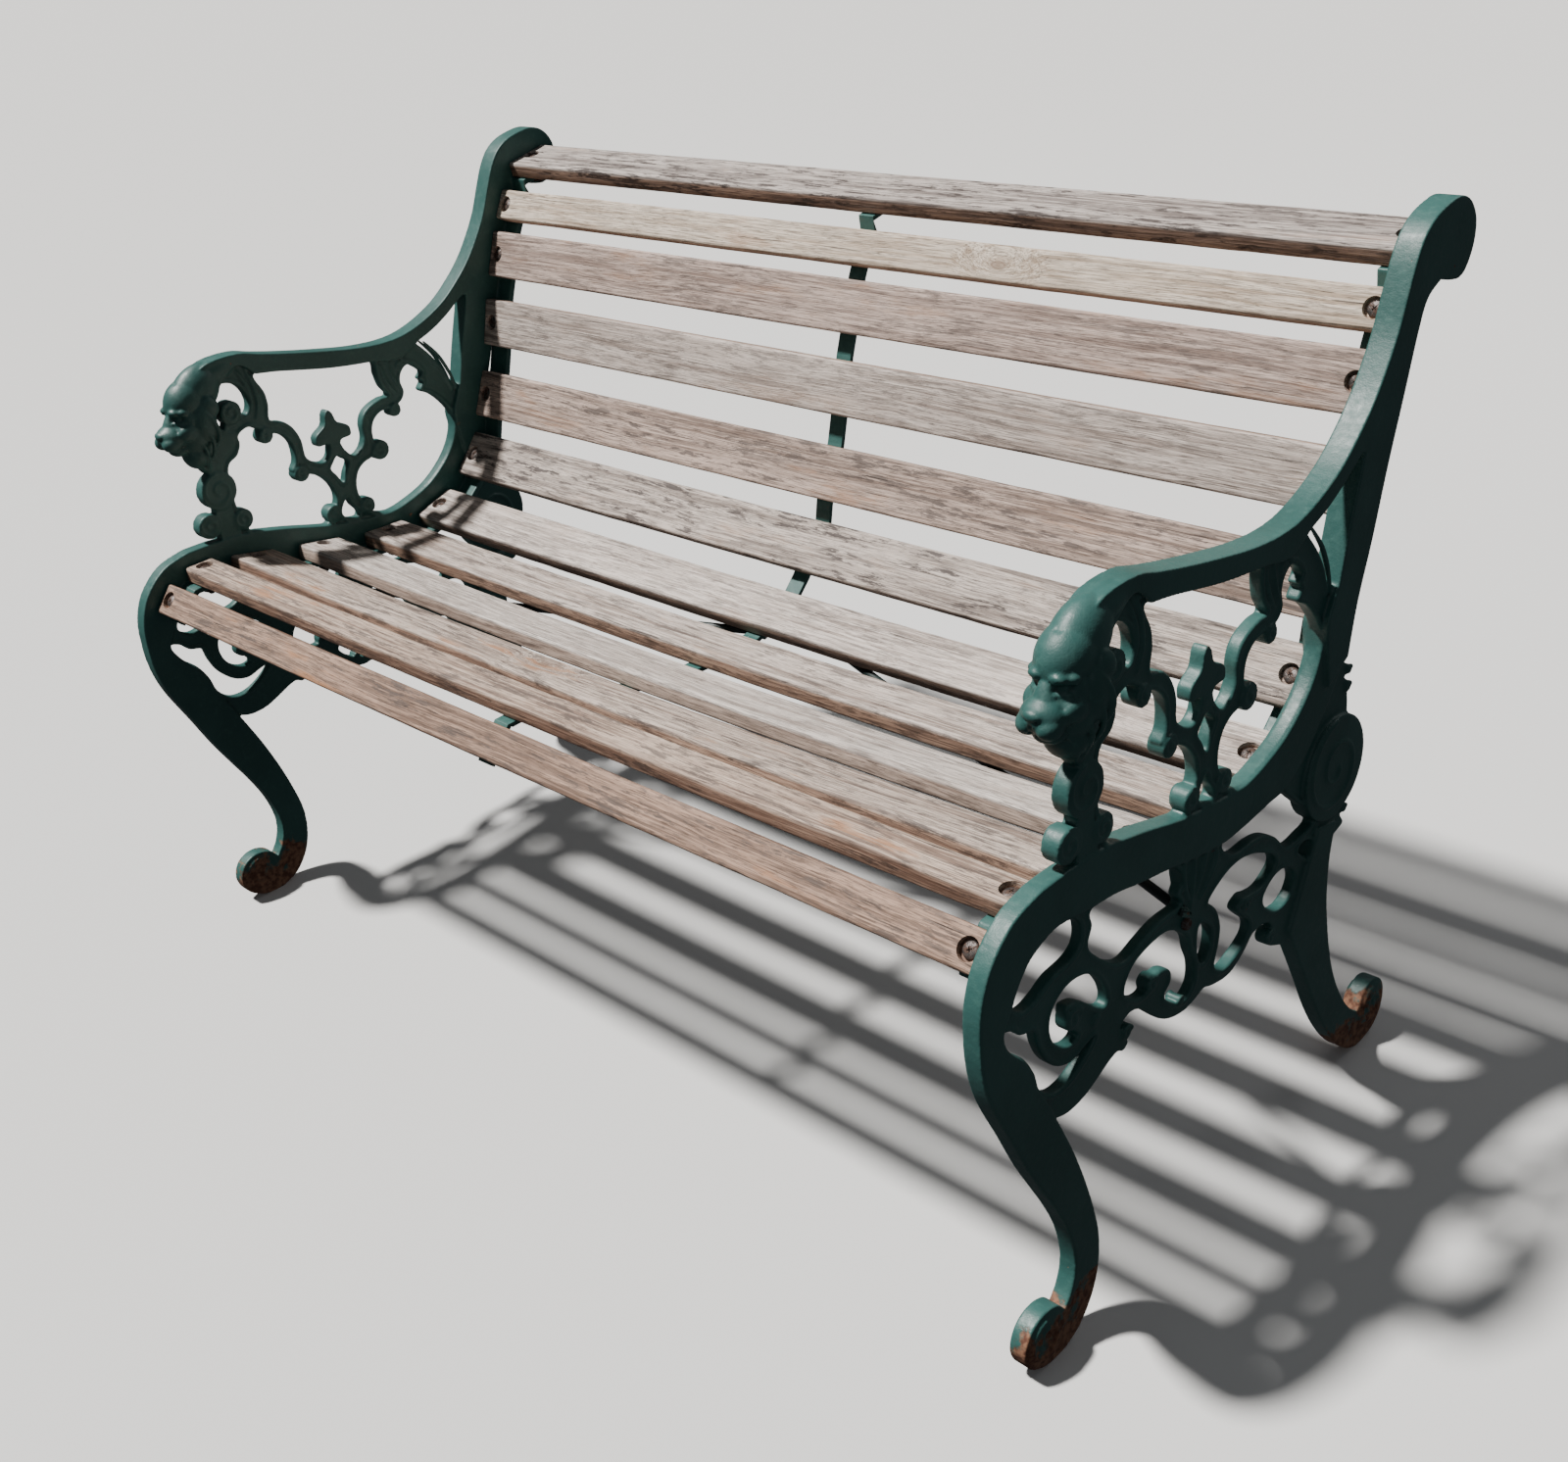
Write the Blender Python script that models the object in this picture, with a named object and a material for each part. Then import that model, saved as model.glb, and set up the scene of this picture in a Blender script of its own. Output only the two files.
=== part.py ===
"""Garden bench with two cast-iron ends, twelve hardwood slats, a centre strap and two tie rods.

Units are metres in Blender. Side-elevation points are written in millimetres as (y, z): y runs
backwards from the ground contact of the front foot and z runs up from the ground.
The frame: +X along the bench, +Y to the back, +Z up, origin under the middle of the bench.
"""

import bmesh
import bpy
from math import cos, pi, radians, sin
from mathutils import Matrix, Vector
from mathutils.geometry import tessellate_polygon

MM = 0.001

# Driving dimensions, in millimetres.
END_SPACING = 1200.0  # between the middle planes of the two castings
DEPTH_ORIGIN = 266.0  # y of the frame's origin, measured from the front foot's ground contact
GAP = 0.3  # clearance between touching pieces

# Half thicknesses of the casting's layers, measured from its middle plane.
HALF_WEB = 4.5
HALF_PANEL = 5.2
HALF_COLUMN = 6.6
HALF_BEAD = 7.6
HALF_BACK_LEG = 8.2
HALF_RIM = 8.6
HALF_VOLUTE = 9.1
HALF_FOOT = 9.6
HALF_ARM = 12.0

# Slats.
SLAT_THICK = 18.0
SLAT_END = END_SPACING / 2 - HALF_ARM - 0.5
SLAT_CHAMFER = 2.0
LEDGE_THICK = 7.0
LEDGE_REACH = 37.0  # from the middle plane to the ledge's free edge
LEDGE_ROOT = 3.0
FREE_SPAN = END_SPACING / 2 - LEDGE_REACH - 4.0  # half the length that a slat spans freely
SAG_STEPS = 6
CUT_MARGIN = 4.0  # how far a drilling tool runs past a face
CUT_REACH = 20.0  # how far the tie bolt's drill runs to each side of its seat
STRAP_WIDTH = 20.0
STRAP_THICK = 5.0

# Bolts through the slat ends, and their holes.
BOLT_INSET = 12.5  # from the slat's end
BOLT_SIDES = 8
HEAD_RADIUS = 7.2
HEAD_HEIGHT = 4.0
SHANK_RADIUS = 3.6
HOLE_RADIUS = 4.2
SINK_RADIUS = 9.5
SINK_DEPTH = 6.0
NUT_HALF = 6.5
NUT_HEIGHT = 6.0
BOLT_STUB = 3.0

# Screws through the strap into the undersides of the slats.
SCREW_RADIUS = 2.2
SCREW_HEAD_RADIUS = 4.6
SCREW_HEAD_HEIGHT = 2.4
SCREW_BITE = 11.0
SCREW_SIDES = 6

# Tie rods between the strap and the castings.
ROD_RADIUS = 4.4
ROD_SIDES = 8
TAB_THICK = 4.0
TAB_HALF = 9.0
TAB_WIDTH = 13.0
TAB_LENGTH = 17.0  # of the lower tab, up from its bolt
ROD_FOOT = (184.0, 318.0)  # where a rod's lower tab sits on the casting
TIE_BOLT_RADIUS = 3.0

# name, face centre (y, z), slope in degrees of the face from front edge to back edge, width,
# sag at mid length.
SLATS = [
    ("seat_slat_1_front", (-46.5, 418.0), 48.5, 35.0, 2.0),
    ("seat_slat_2", (6.0, 440.5), 0.0, 35.0, 3.0),
    ("seat_slat_3", (73.0, 428.0), -13.0, 56.0, 7.0),
    ("seat_slat_4", (160.0, 409.5), -12.0, 56.0, 8.0),
    ("seat_slat_5", (250.0, 394.5), -4.0, 57.0, 6.0),
    ("seat_slat_6", (328.0, 399.5), 17.0, 56.0, 3.0),
    ("back_slat_1_lowest", (391.5, 444.0), 48.0, 57.0, 1.0),
    ("back_slat_2", (427.5, 511.0), 65.5, 57.0, 0.0),
    ("back_slat_3", (457.0, 594.0), 73.5, 56.0, 0.0),
    ("back_slat_4", (485.0, 672.5), 68.6, 55.0, 0.0),
    ("back_slat_5", (511.0, 727.5), 60.0, 36.0, 0.0),
    ("top_slat", (564.5, 775.5), 11.0, 58.0, 0.0),
]
SEAT_TIE_SLAT = 5  # index of the slat whose strap length carries the tie rods

# Outlines of the casting, as runs of (y, z) points. A run is a smooth curve through its points,
# and two runs meet in a corner.
FRONT_FOOT = [(9, 53), (1, 43)], [
    (1, 43), (-9, 55), (-27, 60), (-45, 52), (-53, 34), (-47, 15), (-30, 3), (-14, 0),
], [(-14, 0), (-2, 0)]
FRONT_LEG_BACK = [
    (-2, 0), (20, 9), (38, 29), (48, 54), (51, 84), (46, 116), (36, 155), (22, 197), (4, 241),
]
BAND_UNDERSIDE = [
    [(4, 241), (-5, 262), (-16, 284), (-21, 304), (-32, 322), (-47, 340), (-52, 358), (-42, 374)],
    [(-42, 374), (-34, 388), (-20, 403), (-2, 411), (16, 414), (40, 410)],
    [(40, 410), (62, 406), (89, 402), (119, 394), (158, 385), (196, 375)],
    [(196, 375), (240, 367), (271, 367), (306, 369), (332, 371), (365, 388), (398, 420)],
]
POST_FOOT = [[(398, 420), (424, 452)], [(424, 452), (405, 492)]]
SEAT_RIM_TOP = [
    (387, 494), (384, 475), (373, 455), (355, 437), (330, 421), (300, 411), (268, 406), (226, 411),
    (190, 418), (165, 425), (130, 436), (105, 443), (80, 449), (30, 454), (0, 455),
]
FRONT_EDGE = [
    (0, 455), (-34, 447), (-61, 425), (-75, 397), (-79, 366), (-78, 335), (-70, 302), (-51, 257),
    (-34, 216), (-17, 181), (-3, 153), (10, 122), (17, 92), (16, 70), (9, 53),
]
BACK_LEG = [
    [(345, 215), (356, 189), (369, 161), (383, 130), (396, 100), (412, 69), (431, 40), (449, 19),
     (464, 7), (480, 0)],
    [(480, 0), (494, 0)],
    [(494, 0), (512, 4), (526, 17), (531, 37), (524, 55), (506, 64), (489, 57), (479, 43)],
    [(479, 43), (465, 55), (450, 75), (437, 99), (426, 126), (418, 157), (413, 188), (410, 220),
     (413, 260), (422, 292)],
    [(422, 292), (392, 300)],
    [(392, 300), (345, 215)],
]
LOWER_WEB = [
    [(341, 203), (332, 208), (319, 215), (313, 222), (316, 229), (321, 233)],
    [(321, 233), (317, 240), (310, 244), (300, 246), (289, 245), (280, 238), (267, 230), (250, 225),
     (228, 229), (213, 235)],
    [(213, 235), (197, 231), (182, 230), (163, 235), (147, 245), (132, 260), (121, 271), (110, 276),
     (100, 275), (94, 270), (96, 264), (101, 257), (104, 249)],
    [(104, 249), (97, 245), (89, 249), (78, 247), (60, 240), (41, 234), (19, 234), (0, 242)],
    [(0, 242), (-24, 270), (-36, 300), (-60, 340), (-62, 372), (-50, 408), (-25, 432), (10, 441),
     (60, 436), (110, 427), (170, 408), (230, 396), (290, 394), (340, 408), (380, 432), (410, 446)],
    [(410, 446), (426, 448), (441, 438)],
    [(441, 438), (433, 430)],
    [(433, 430), (441, 422)],
    [(441, 422), (435, 415)],
    [(435, 415), (440, 405), (440, 300)],
    [(440, 300), (435, 291), (441, 280), (432, 276), (400, 270)],
    [(400, 270), (380, 210)],
    [(380, 210), (341, 203)],
]
LOWER_HOLES = [
    [(-37, 372), (-31, 386), (-21, 399), (-6, 408), (13, 413), (33, 410), (46, 398), (46, 381),
     (34, 373), (10, 371), (-8, 364), (-25, 362)],
    [(60, 402), (89, 402), (119, 394), (158, 385), (176, 374), (181, 360), (175, 349), (178, 339),
     (150, 340), (125, 336), (104, 331), (89, 336), (70, 352), (55, 372), (61, 388)],
    [(38, 299), (28, 297), (17, 302), (8, 312), (4, 326), (7, 340), (18, 350), (34, 353), (52, 348),
     (65, 337), (74, 322), (77, 309), (72, 305), (62, 311), (50, 322), (38, 331), (25, 333),
     (25, 320), (32, 308)],
    [(-52, 356), (-42, 335), (-27, 319), (-17, 300), (-12, 281), (3, 266), (24, 264), (46, 273),
     (60, 285), (47, 284), (30, 280), (12, 286), (-3, 302), (-11, 321), (-15, 337), (-30, 343),
     (-40, 353)],
    [(240, 366), (271, 366), (306, 368), (330, 369), (340, 360), (352, 348), (367, 334), (383, 322),
     (385, 308), (367, 305), (350, 304), (337, 310), (324, 325), (306, 337), (286, 342), (262, 343),
     (246, 352)],
    [(219, 320), (241, 331), (263, 334), (285, 329), (304, 320), (320, 309), (324, 298), (314, 291),
     (300, 287), (284, 290), (270, 292), (262, 286), (268, 277), (282, 262), (281, 250), (266, 242),
     (246, 237), (234, 241), (228, 251), (234, 268), (237, 285), (232, 303), (224, 313)],
    [(100, 298), (103, 312), (116, 322), (141, 326), (160, 324), (176, 314), (188, 301), (192, 285),
     (198, 268), (197, 251), (185, 242), (170, 247), (159, 256), (154, 265), (163, 273),
     (163, 284), (153, 291), (141, 291), (130, 283), (116, 285)],
    [(205, 303), (213, 301), (223, 289), (222, 273), (216, 263), (208, 264), (203, 275), (202, 290)],
    [(304, 272), (310, 281), (323, 287), (338, 286), (352, 277), (357, 264), (350, 253), (337, 248),
     (322, 251), (310, 261)],
    [(361, 292), (368, 296), (379, 293), (391, 283), (391, 276), (382, 274), (371, 281)],
]
ARM_AND_POST = [
    [(58, 642), (77, 652), (100, 654), (123, 652), (145, 645), (181, 635), (226, 624), (274, 614),
     (320, 610), (358, 616), (398, 632), (428, 653), (451, 674), (471, 699), (486, 722), (499, 749),
     (511, 772), (524, 788), (541, 798), (562, 803), (580, 804), (595, 799), (606, 788), (611, 774),
     (608, 757), (598, 742), (586, 736), (570, 738), (553, 743)],
    [(553, 743), (532, 733), (519, 710), (500, 662), (478, 608), (457, 550), (437, 502), (424, 456)],
    [(424, 456), (392, 440)],
    [(392, 440), (387, 494), (395, 516), (404, 532)],
    [(404, 532), (414, 564), (424, 593), (433, 618), (438, 635)],
    [(438, 635), (427, 631), (404, 617), (381, 606), (357, 598)],
    [(357, 598), (326, 585), (292, 592)],
    [(292, 592), (258, 597), (226, 603), (193, 611), (161, 619), (135, 624)],
    [(135, 624), (112, 640), (70, 612), (58, 642)],
]
ARM_PANEL = [
    [(66, 446), (62, 500), (56, 560), (60, 640)],
    [(60, 640), (104, 642), (145, 634), (226, 614), (290, 602), (330, 601), (380, 616), (440, 652)],
    [(440, 652), (447, 634), (424, 560), (402, 492)],
    [(402, 492), (390, 455), (355, 424), (320, 405), (268, 396), (210, 404), (150, 420), (100, 436),
     (66, 446)],
]
ARM_HOLES = [
    [(67, 571), (65, 588), (67, 606), (76, 619), (92, 624), (107, 620), (117, 609), (120, 594),
     (115, 583), (104, 584), (88, 583), (79, 571)],
    [(76, 531), (90, 540), (97, 551), (98, 562), (112, 567), (124, 560), (137, 552), (150, 545),
     (159, 534), (161, 520), (159, 508), (153, 499), (160, 491), (174, 488), (188, 479), (198, 465),
     (201, 449), (194, 434), (181, 422), (158, 426), (130, 436), (105, 443), (84, 449), (76, 468),
     (72, 500)],
    [(137, 624), (193, 611), (258, 597), (290, 591), (292, 575), (295, 559), (302, 546), (289, 545),
     (274, 541), (263, 534), (257, 522), (256, 506), (248, 494), (237, 490), (227, 501),
     (222, 512), (209, 512), (204, 501), (194, 496), (181, 502), (174, 511), (174, 530),
     (168, 547), (157, 559), (141, 566), (144, 584), (143, 600)],
    [(241, 417), (268, 407), (300, 412), (330, 422), (355, 438), (373, 456), (384, 476), (387, 493),
     (376, 513), (362, 528), (348, 537), (354, 546), (350, 552), (356, 558), (349, 566), (338, 573),
     (328, 568), (323, 557), (325, 543), (318, 533), (303, 530), (286, 529), (274, 521), (269, 508),
     (269, 494), (264, 481), (249, 477), (238, 469), (232, 455), (232, 441), (238, 428)],
    [(357, 597), (381, 604), (404, 616), (427, 630), (438, 634), (434, 617), (425, 593), (415, 566),
     (405, 534), (399, 528), (393, 538), (386, 553), (374, 573), (364, 586)],
    [(215, 497), (208, 491), (203, 484), (209, 474), (215, 463), (221, 474), (228, 485), (222, 491)],
    [(214, 443), (204, 430), (208, 420), (223, 416), (226, 422), (219, 432)],
]
COLUMN = [
    (45, 440), (68, 440), (66, 480), (66, 520), (72, 540), (96, 562), (80, 574), (64, 600), (50, 600),
    (44, 560), (50, 530), (47, 500),
]
FINIAL = [
    (208, 500), (208, 514), (193, 516), (193, 528), (207, 537), (211, 549), (216, 554), (221, 549),
    (225, 537), (239, 528), (239, 516), (224, 514), (223, 500),
]
# Round beads and scroll ends: centre (y, z) and radius.
BEADS = [
    ((56.5, 509), 22.0), ((34, 473), 14.5), ((76, 467), 12.5), ((95, 590), 13.5), ((130, 551), 9.3),
    ((163, 493), 9.8), ((192, 431), 10.6), ((239, 425), 10.4), ((274, 485), 12.0), ((306, 526), 8.4),
]
VOLUTE = ((415, 350), 49.0)
FOOT_SCROLLS = [((-26, 32), 23.0), ((504, 37), 22.0)]
BEAD_SIDES = 12
VOLUTE_SIDES = 28
FLAT_ANGLE = 0.3  # neighbouring faces closer than this, in degrees, become one

# Lion's head at the front of the arm: ellipsoids as centre (x, y, z) and radii (x, y, z), x from
# the casting's middle plane.
HEAD_BALLS = [
    ((0, 46, 618), (27, 31, 36)),
    ((0, 50, 580), (25, 23, 32)),
    ((0, 23, 592), (17, 20, 17)),
    ((-24, 58, 632), (8, 9, 11)),
    ((24, 58, 632), (8, 9, 11)),
]

PAINT = (0.035, 0.12, 0.105)
STEEL = (0.20, 0.16, 0.13)
WOODS = [
    (0.44, 0.33, 0.25), (0.42, 0.34, 0.28), (0.46, 0.36, 0.28), (0.45, 0.40, 0.35),
    (0.47, 0.36, 0.27), (0.44, 0.37, 0.31), (0.40, 0.35, 0.31), (0.45, 0.35, 0.27),
    (0.47, 0.42, 0.37), (0.44, 0.33, 0.27), (0.55, 0.47, 0.38), (0.42, 0.39, 0.36),
]


def clear_scene():
    for old in list(bpy.data.objects):
        bpy.data.objects.remove(old)


def material(name, colour, roughness, metallic=0.0):
    made = bpy.data.materials.new(name)
    made.use_nodes = True
    shader = made.node_tree.nodes["Principled BSDF"]
    shader.inputs["Base Color"].default_value = (*colour, 1.0)
    shader.inputs["Roughness"].default_value = roughness
    shader.inputs["Metallic"].default_value = metallic
    return made


def world(x, y, z):
    """A point in metres, from millimetres in the side elevation's coordinates."""
    return Vector((x, y - DEPTH_ORIGIN, z)) * MM


def add_object(name, mesh, paint=None, helper=False):
    made = bpy.data.objects.new(name, mesh)
    bpy.context.scene.collection.objects.link(made)
    if paint:
        mesh.materials.append(paint)
    if helper:
        made.hide_render = True
        made.display_type = "WIRE"
    return made


def mesh_from(name, build):
    """A mesh made by build(bm), with its faces pointing out."""
    bm = bmesh.new()
    build(bm)
    bmesh.ops.recalc_face_normals(bm, faces=bm.faces)
    mesh = bpy.data.meshes.new(name)
    bm.to_mesh(mesh)
    bm.free()
    return mesh


def curve_through(points, steps):
    """A smooth open curve through the points (Catmull-Rom), without its last point."""
    if len(points) < 3:
        return points[:-1]
    path = []
    last = len(points) - 1
    for i in range(last):
        before, start = points[max(i - 1, 0)], points[i]
        end, after = points[i + 1], points[min(i + 2, last)]
        for step in range(steps):
            path.append(spline_point(before, start, end, after, step / steps))
    return path


def spline_point(before, start, end, after, t):
    """The point at t between start and end, coordinate by coordinate."""
    return tuple(
        0.5 * (2 * b + (c - a) * t + (2 * a - 5 * b + 4 * c - d) * t**2 + (3 * b - a - 3 * c + d) * t**3)
        for a, b, c, d in zip(before, start, end, after)
    )


def outline_of(runs, steps):
    return [point for run in runs for point in curve_through(run, steps)]


def circle(centre, radius, sides):
    turns = [2 * pi * i / sides for i in range(sides)]
    return [(centre[0] + radius * cos(turn), centre[1] + radius * sin(turn)) for turn in turns]


def prism(bm, outline, low, high, holes=()):
    """A flat solid between x = low and x = high, from an outline and its holes in (y, z)."""
    loops = [outline, *holes]
    flat = [[Vector((y, z, 0)) for y, z in loop] for loop in loops]
    points = [point for loop in loops for point in loop]
    sides = [[bm.verts.new(world(x, y, z)) for y, z in points] for x in (low, high)]
    for a, b, c in tessellate_polygon(flat):
        for verts in sides:
            bm.faces.new((verts[a], verts[b], verts[c]))
    start = 0
    for loop in loops:
        for i in range(len(loop)):
            a, b = start + i, start + (i + 1) % len(loop)
            bm.faces.new((sides[0][a], sides[0][b], sides[1][b], sides[1][a]))
        start += len(loop)


def along(frame, u, v, w):
    """World point of a slat's own coordinates: u along X, v across the face, w out of the face."""
    _, (y, z), slope, _, _ = frame
    angle = radians(slope)
    return world(u, y + v * cos(angle) - w * sin(angle), z + v * sin(angle) + w * cos(angle))


def sag_at(frame, u):
    """How far a slat hangs down at u. It only sags between the castings' ledges."""
    return frame[4] * max(0.0, 1 - (u / FREE_SPAN) ** 2)


def turned(bm, frame, u, v, profile, sides, square=()):
    """A solid turned about a slat's face normal. Rings named in square are square, not round."""
    drop = Vector((0, 0, -sag_at(frame, u) * MM))
    rings = []
    for index, (radius, w) in enumerate(profile):
        ring = []
        for i in range(sides):
            angle = 2 * pi * (i + 0.5 * (index not in square)) / sides
            reach = radius
            if index in square:
                reach = radius / max(abs(cos(angle)), abs(sin(angle)))
            point = along(frame, u + reach * cos(angle), v + reach * sin(angle), w)
            ring.append(bm.verts.new(point + drop))
        rings.append(ring)
    bm.faces.new(rings[0])
    bm.faces.new(rings[-1])
    for upper, lower in zip(rings, rings[1:]):
        for i in range(sides):
            j = (i + 1) % sides
            bm.faces.new((upper[i], upper[j], lower[j], lower[i]))


def boolean(target, name, operation, operand):
    cut = target.modifiers.new(name, "BOOLEAN")
    cut.operation = operation
    cut.solver = "EXACT"
    cut.object = operand


def smooth(obj, degrees):
    obj.data.shade_smooth()
    obj.data.set_sharp_from_angle(angle=radians(degrees))


def bolt_profile():
    under = SLAT_THICK + LEDGE_THICK + 2 * GAP
    return [
        (HEAD_RADIUS - 1.6, -SINK_DEPTH + GAP + HEAD_HEIGHT),
        (HEAD_RADIUS, -SINK_DEPTH + GAP + HEAD_HEIGHT / 2),
        (HEAD_RADIUS, -SINK_DEPTH + GAP),
        (SHANK_RADIUS, -SINK_DEPTH + GAP),
        (SHANK_RADIUS, -under - GAP),
        (NUT_HALF, -under - GAP),
        (NUT_HALF, -under - GAP - NUT_HEIGHT),
        (SHANK_RADIUS, -under - GAP - NUT_HEIGHT),
        (SHANK_RADIUS, -under - GAP - NUT_HEIGHT - BOLT_STUB),
    ]


def bolt_u(side):
    return side * (SLAT_END - BOLT_INSET)


def back_line(depth, margin=3.0):
    """Points of the broken line behind all slats, at a depth below their faces."""
    line = []
    for frame in SLATS:
        half = frame[3] / 2 + margin
        for v in (-half, half):
            line.append(along(frame, 0, v, -depth) / MM + Vector((0, DEPTH_ORIGIN, 0)))
    return [(point.y, point.z) for point in line]


def ledge_outline(thick, sagging):
    upper = back_line(SLAT_THICK + GAP)
    lower = back_line(SLAT_THICK + GAP + thick)
    if sagging:
        drops = [frame[4] for frame in SLATS for _ in range(2)]
        upper = [(y, z - drop) for (y, z), drop in zip(upper, drops)]
        lower = [(y, z - drop) for (y, z), drop in zip(lower, drops)]
    return upper + lower[::-1]


def ledge_holes(name, side):
    """Cutters for the bolt holes of one casting's ledge."""

    def build(bm):
        for frame in SLATS:
            ends = [
                (HOLE_RADIUS, CUT_MARGIN - SLAT_THICK),
                (HOLE_RADIUS, -SLAT_THICK - LEDGE_THICK - CUT_MARGIN),
            ]
            turned(bm, frame, bolt_u(side), 0, ends, BOLT_SIDES)

    return add_object(name, mesh_from(name, build), helper=True)


def lion_head(bm, side, centre, radii):
    x, y, z = centre
    ball = bmesh.ops.create_uvsphere(bm, u_segments=10, v_segments=6, radius=1.0)["verts"]
    scale = Matrix.Diagonal((*[radius * MM for radius in radii], 1.0))
    place = Matrix.Translation(world(side * END_SPACING / 2 + x, y, z))
    tilt = Matrix.Rotation(radians(90), 4, "Y")
    bmesh.ops.transform(bm, matrix=place @ scale @ tilt, verts=ball)


def casting(name, side, paint):
    """One cast-iron end: legs, seat rim, arm, post, panels, beads, lion's head and slat ledge."""
    middle = side * END_SPACING / 2

    def layer(label, outline, half, holes=()):
        low, high = middle - half, middle + half
        mesh = mesh_from(label, lambda bm: prism(bm, outline, low, high, holes))
        return add_object(f"{name}.{label}", mesh, helper=True)

    frame_runs = [*FRONT_FOOT, FRONT_LEG_BACK, *BAND_UNDERSIDE, *POST_FOOT, SEAT_RIM_TOP, FRONT_EDGE]
    rim = outline_of(frame_runs, 1)
    body = mesh_from(name, lambda bm: prism(bm, rim, middle - HALF_RIM, middle + HALF_RIM))
    end = add_object(name, body, paint)

    pieces = [
        layer("lower_web", outline_of(LOWER_WEB, 1), HALF_WEB, LOWER_HOLES),
        layer("arm_panel", outline_of(ARM_PANEL, 1), HALF_PANEL, ARM_HOLES),
        layer("back_leg", outline_of(BACK_LEG, 1), HALF_BACK_LEG),
        layer("arm_and_post", outline_of(ARM_AND_POST, 1), HALF_ARM),
        layer("column", COLUMN, HALF_COLUMN),
        layer("finial", FINIAL, HALF_COLUMN - 0.2),
        layer("volute", circle(*VOLUTE, VOLUTE_SIDES), HALF_VOLUTE),
    ]
    for index, (centre, radius) in enumerate(BEADS):
        half = HALF_BEAD + 0.03 * index
        pieces.append(layer(f"bead_{index}", circle(centre, radius, BEAD_SIDES), half))
    for index, (centre, radius) in enumerate(FOOT_SCROLLS):
        half = HALF_FOOT + 0.03 * index
        pieces.append(layer(f"foot_scroll_{index}", circle(centre, radius, BEAD_SIDES + 2), half))

    edges = sorted((side * (END_SPACING / 2 - LEDGE_ROOT), side * (END_SPACING / 2 - LEDGE_REACH)))
    ledge = mesh_from("ledge", lambda bm: prism(bm, ledge_outline(LEDGE_THICK, False), *edges))
    pieces.append(add_object(f"{name}.ledge", ledge, helper=True))
    for index, (centre, radii) in enumerate(HEAD_BALLS):
        ball = mesh_from("ball", lambda bm: lion_head(bm, side, centre, radii))
        pieces.append(add_object(f"{name}.head_{index}", ball, helper=True))

    for piece in pieces:
        boolean(end, piece.name.split(".")[-1], "UNION", piece)
    boolean(end, "bolt_holes", "DIFFERENCE", ledge_holes(f"{name}.bolt_holes", side))
    boolean(end, "tie_hole", "DIFFERENCE", tie_hole(f"{name}.tie_hole", side))
    flatten = end.modifiers.new("merge_flat_faces", "DECIMATE")
    flatten.decimate_type = "DISSOLVE"
    flatten.angle_limit = radians(FLAT_ANGLE)
    smooth(end, 35)
    return end


def tie_hole(name, side):
    radius = TIE_BOLT_RADIUS + GAP
    reach = sorted(side * (END_SPACING / 2 + away) for away in (-CUT_REACH, CUT_REACH))
    mesh = mesh_from(name, lambda bm: prism(bm, circle(ROD_FOOT, radius, ROD_SIDES), *reach))
    return add_object(name, mesh, helper=True)


def slat(frame, paint):
    """A bevelled plank that sags a little at mid length, with its sunk bolt holes."""
    name, _, _, width, sag = frame
    half = width / 2
    cut = SLAT_CHAMFER
    corners = [
        (-half, -cut), (-half + cut, 0), (half - cut, 0), (half, -cut),
        (half, cut - SLAT_THICK), (half - cut, -SLAT_THICK), (cut - half, -SLAT_THICK),
        (-half, cut - SLAT_THICK),
    ]
    stations = [-SLAT_END, SLAT_END]
    if sag:
        stations[1:1] = [FREE_SPAN * (2 * i / SAG_STEPS - 1) for i in range(SAG_STEPS + 1)]

    def build(bm):
        rings = []
        for u in stations:
            drop = Vector((0, 0, -sag_at(frame, u) * MM))
            rings.append([bm.verts.new(along(frame, u, v, w) + drop) for v, w in corners])
        bm.faces.new(rings[0])
        bm.faces.new(rings[-1])
        for a, b in zip(rings, rings[1:]):
            for i in range(len(corners)):
                j = (i + 1) % len(corners)
                bm.faces.new((a[i], a[j], b[j], b[i]))

    made = add_object(name, mesh_from(name, build), paint)
    boolean(made, "holes", "DIFFERENCE", slat_holes(frame))
    smooth(made, 30)
    return made


def screw_places(frame):
    """Where small screws enter a slat's underside: (u, v) in the slat's coordinates."""
    places = [(0.0, 0.0)]
    if frame is SLATS[SEAT_TIE_SLAT]:
        places += [tie_tab_place(side) for side in (-1, 1)]
    return places


def tie_tab_place(side):
    return (0.0, side * 17.0)


def slat_holes(frame):
    name = f"{frame[0]}.holes"

    def build(bm):
        sunk = [
            (SINK_RADIUS, CUT_MARGIN), (SINK_RADIUS, -SINK_DEPTH), (HOLE_RADIUS, -SINK_DEPTH),
            (HOLE_RADIUS, -SLAT_THICK - CUT_MARGIN),
        ]
        for side in (-1, 1):
            turned(bm, frame, bolt_u(side), 0, sunk, BOLT_SIDES)
        radius = SCREW_RADIUS + GAP
        pilot = [(radius, SCREW_BITE + GAP - SLAT_THICK), (radius, -SLAT_THICK - CUT_MARGIN)]
        for u, v in screw_places(frame):
            turned(bm, frame, u, v, pilot, SCREW_SIDES)

    return add_object(name, mesh_from(name, build), helper=True)


def bolt(name, frame, side, steel):
    nut_rings = (5, 6)
    profile = bolt_profile()
    mesh = mesh_from(name, lambda bm: turned(bm, frame, bolt_u(side), 0, profile, BOLT_SIDES, nut_rings))
    made = add_object(name, mesh, steel)
    smooth(made, 40)


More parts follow.
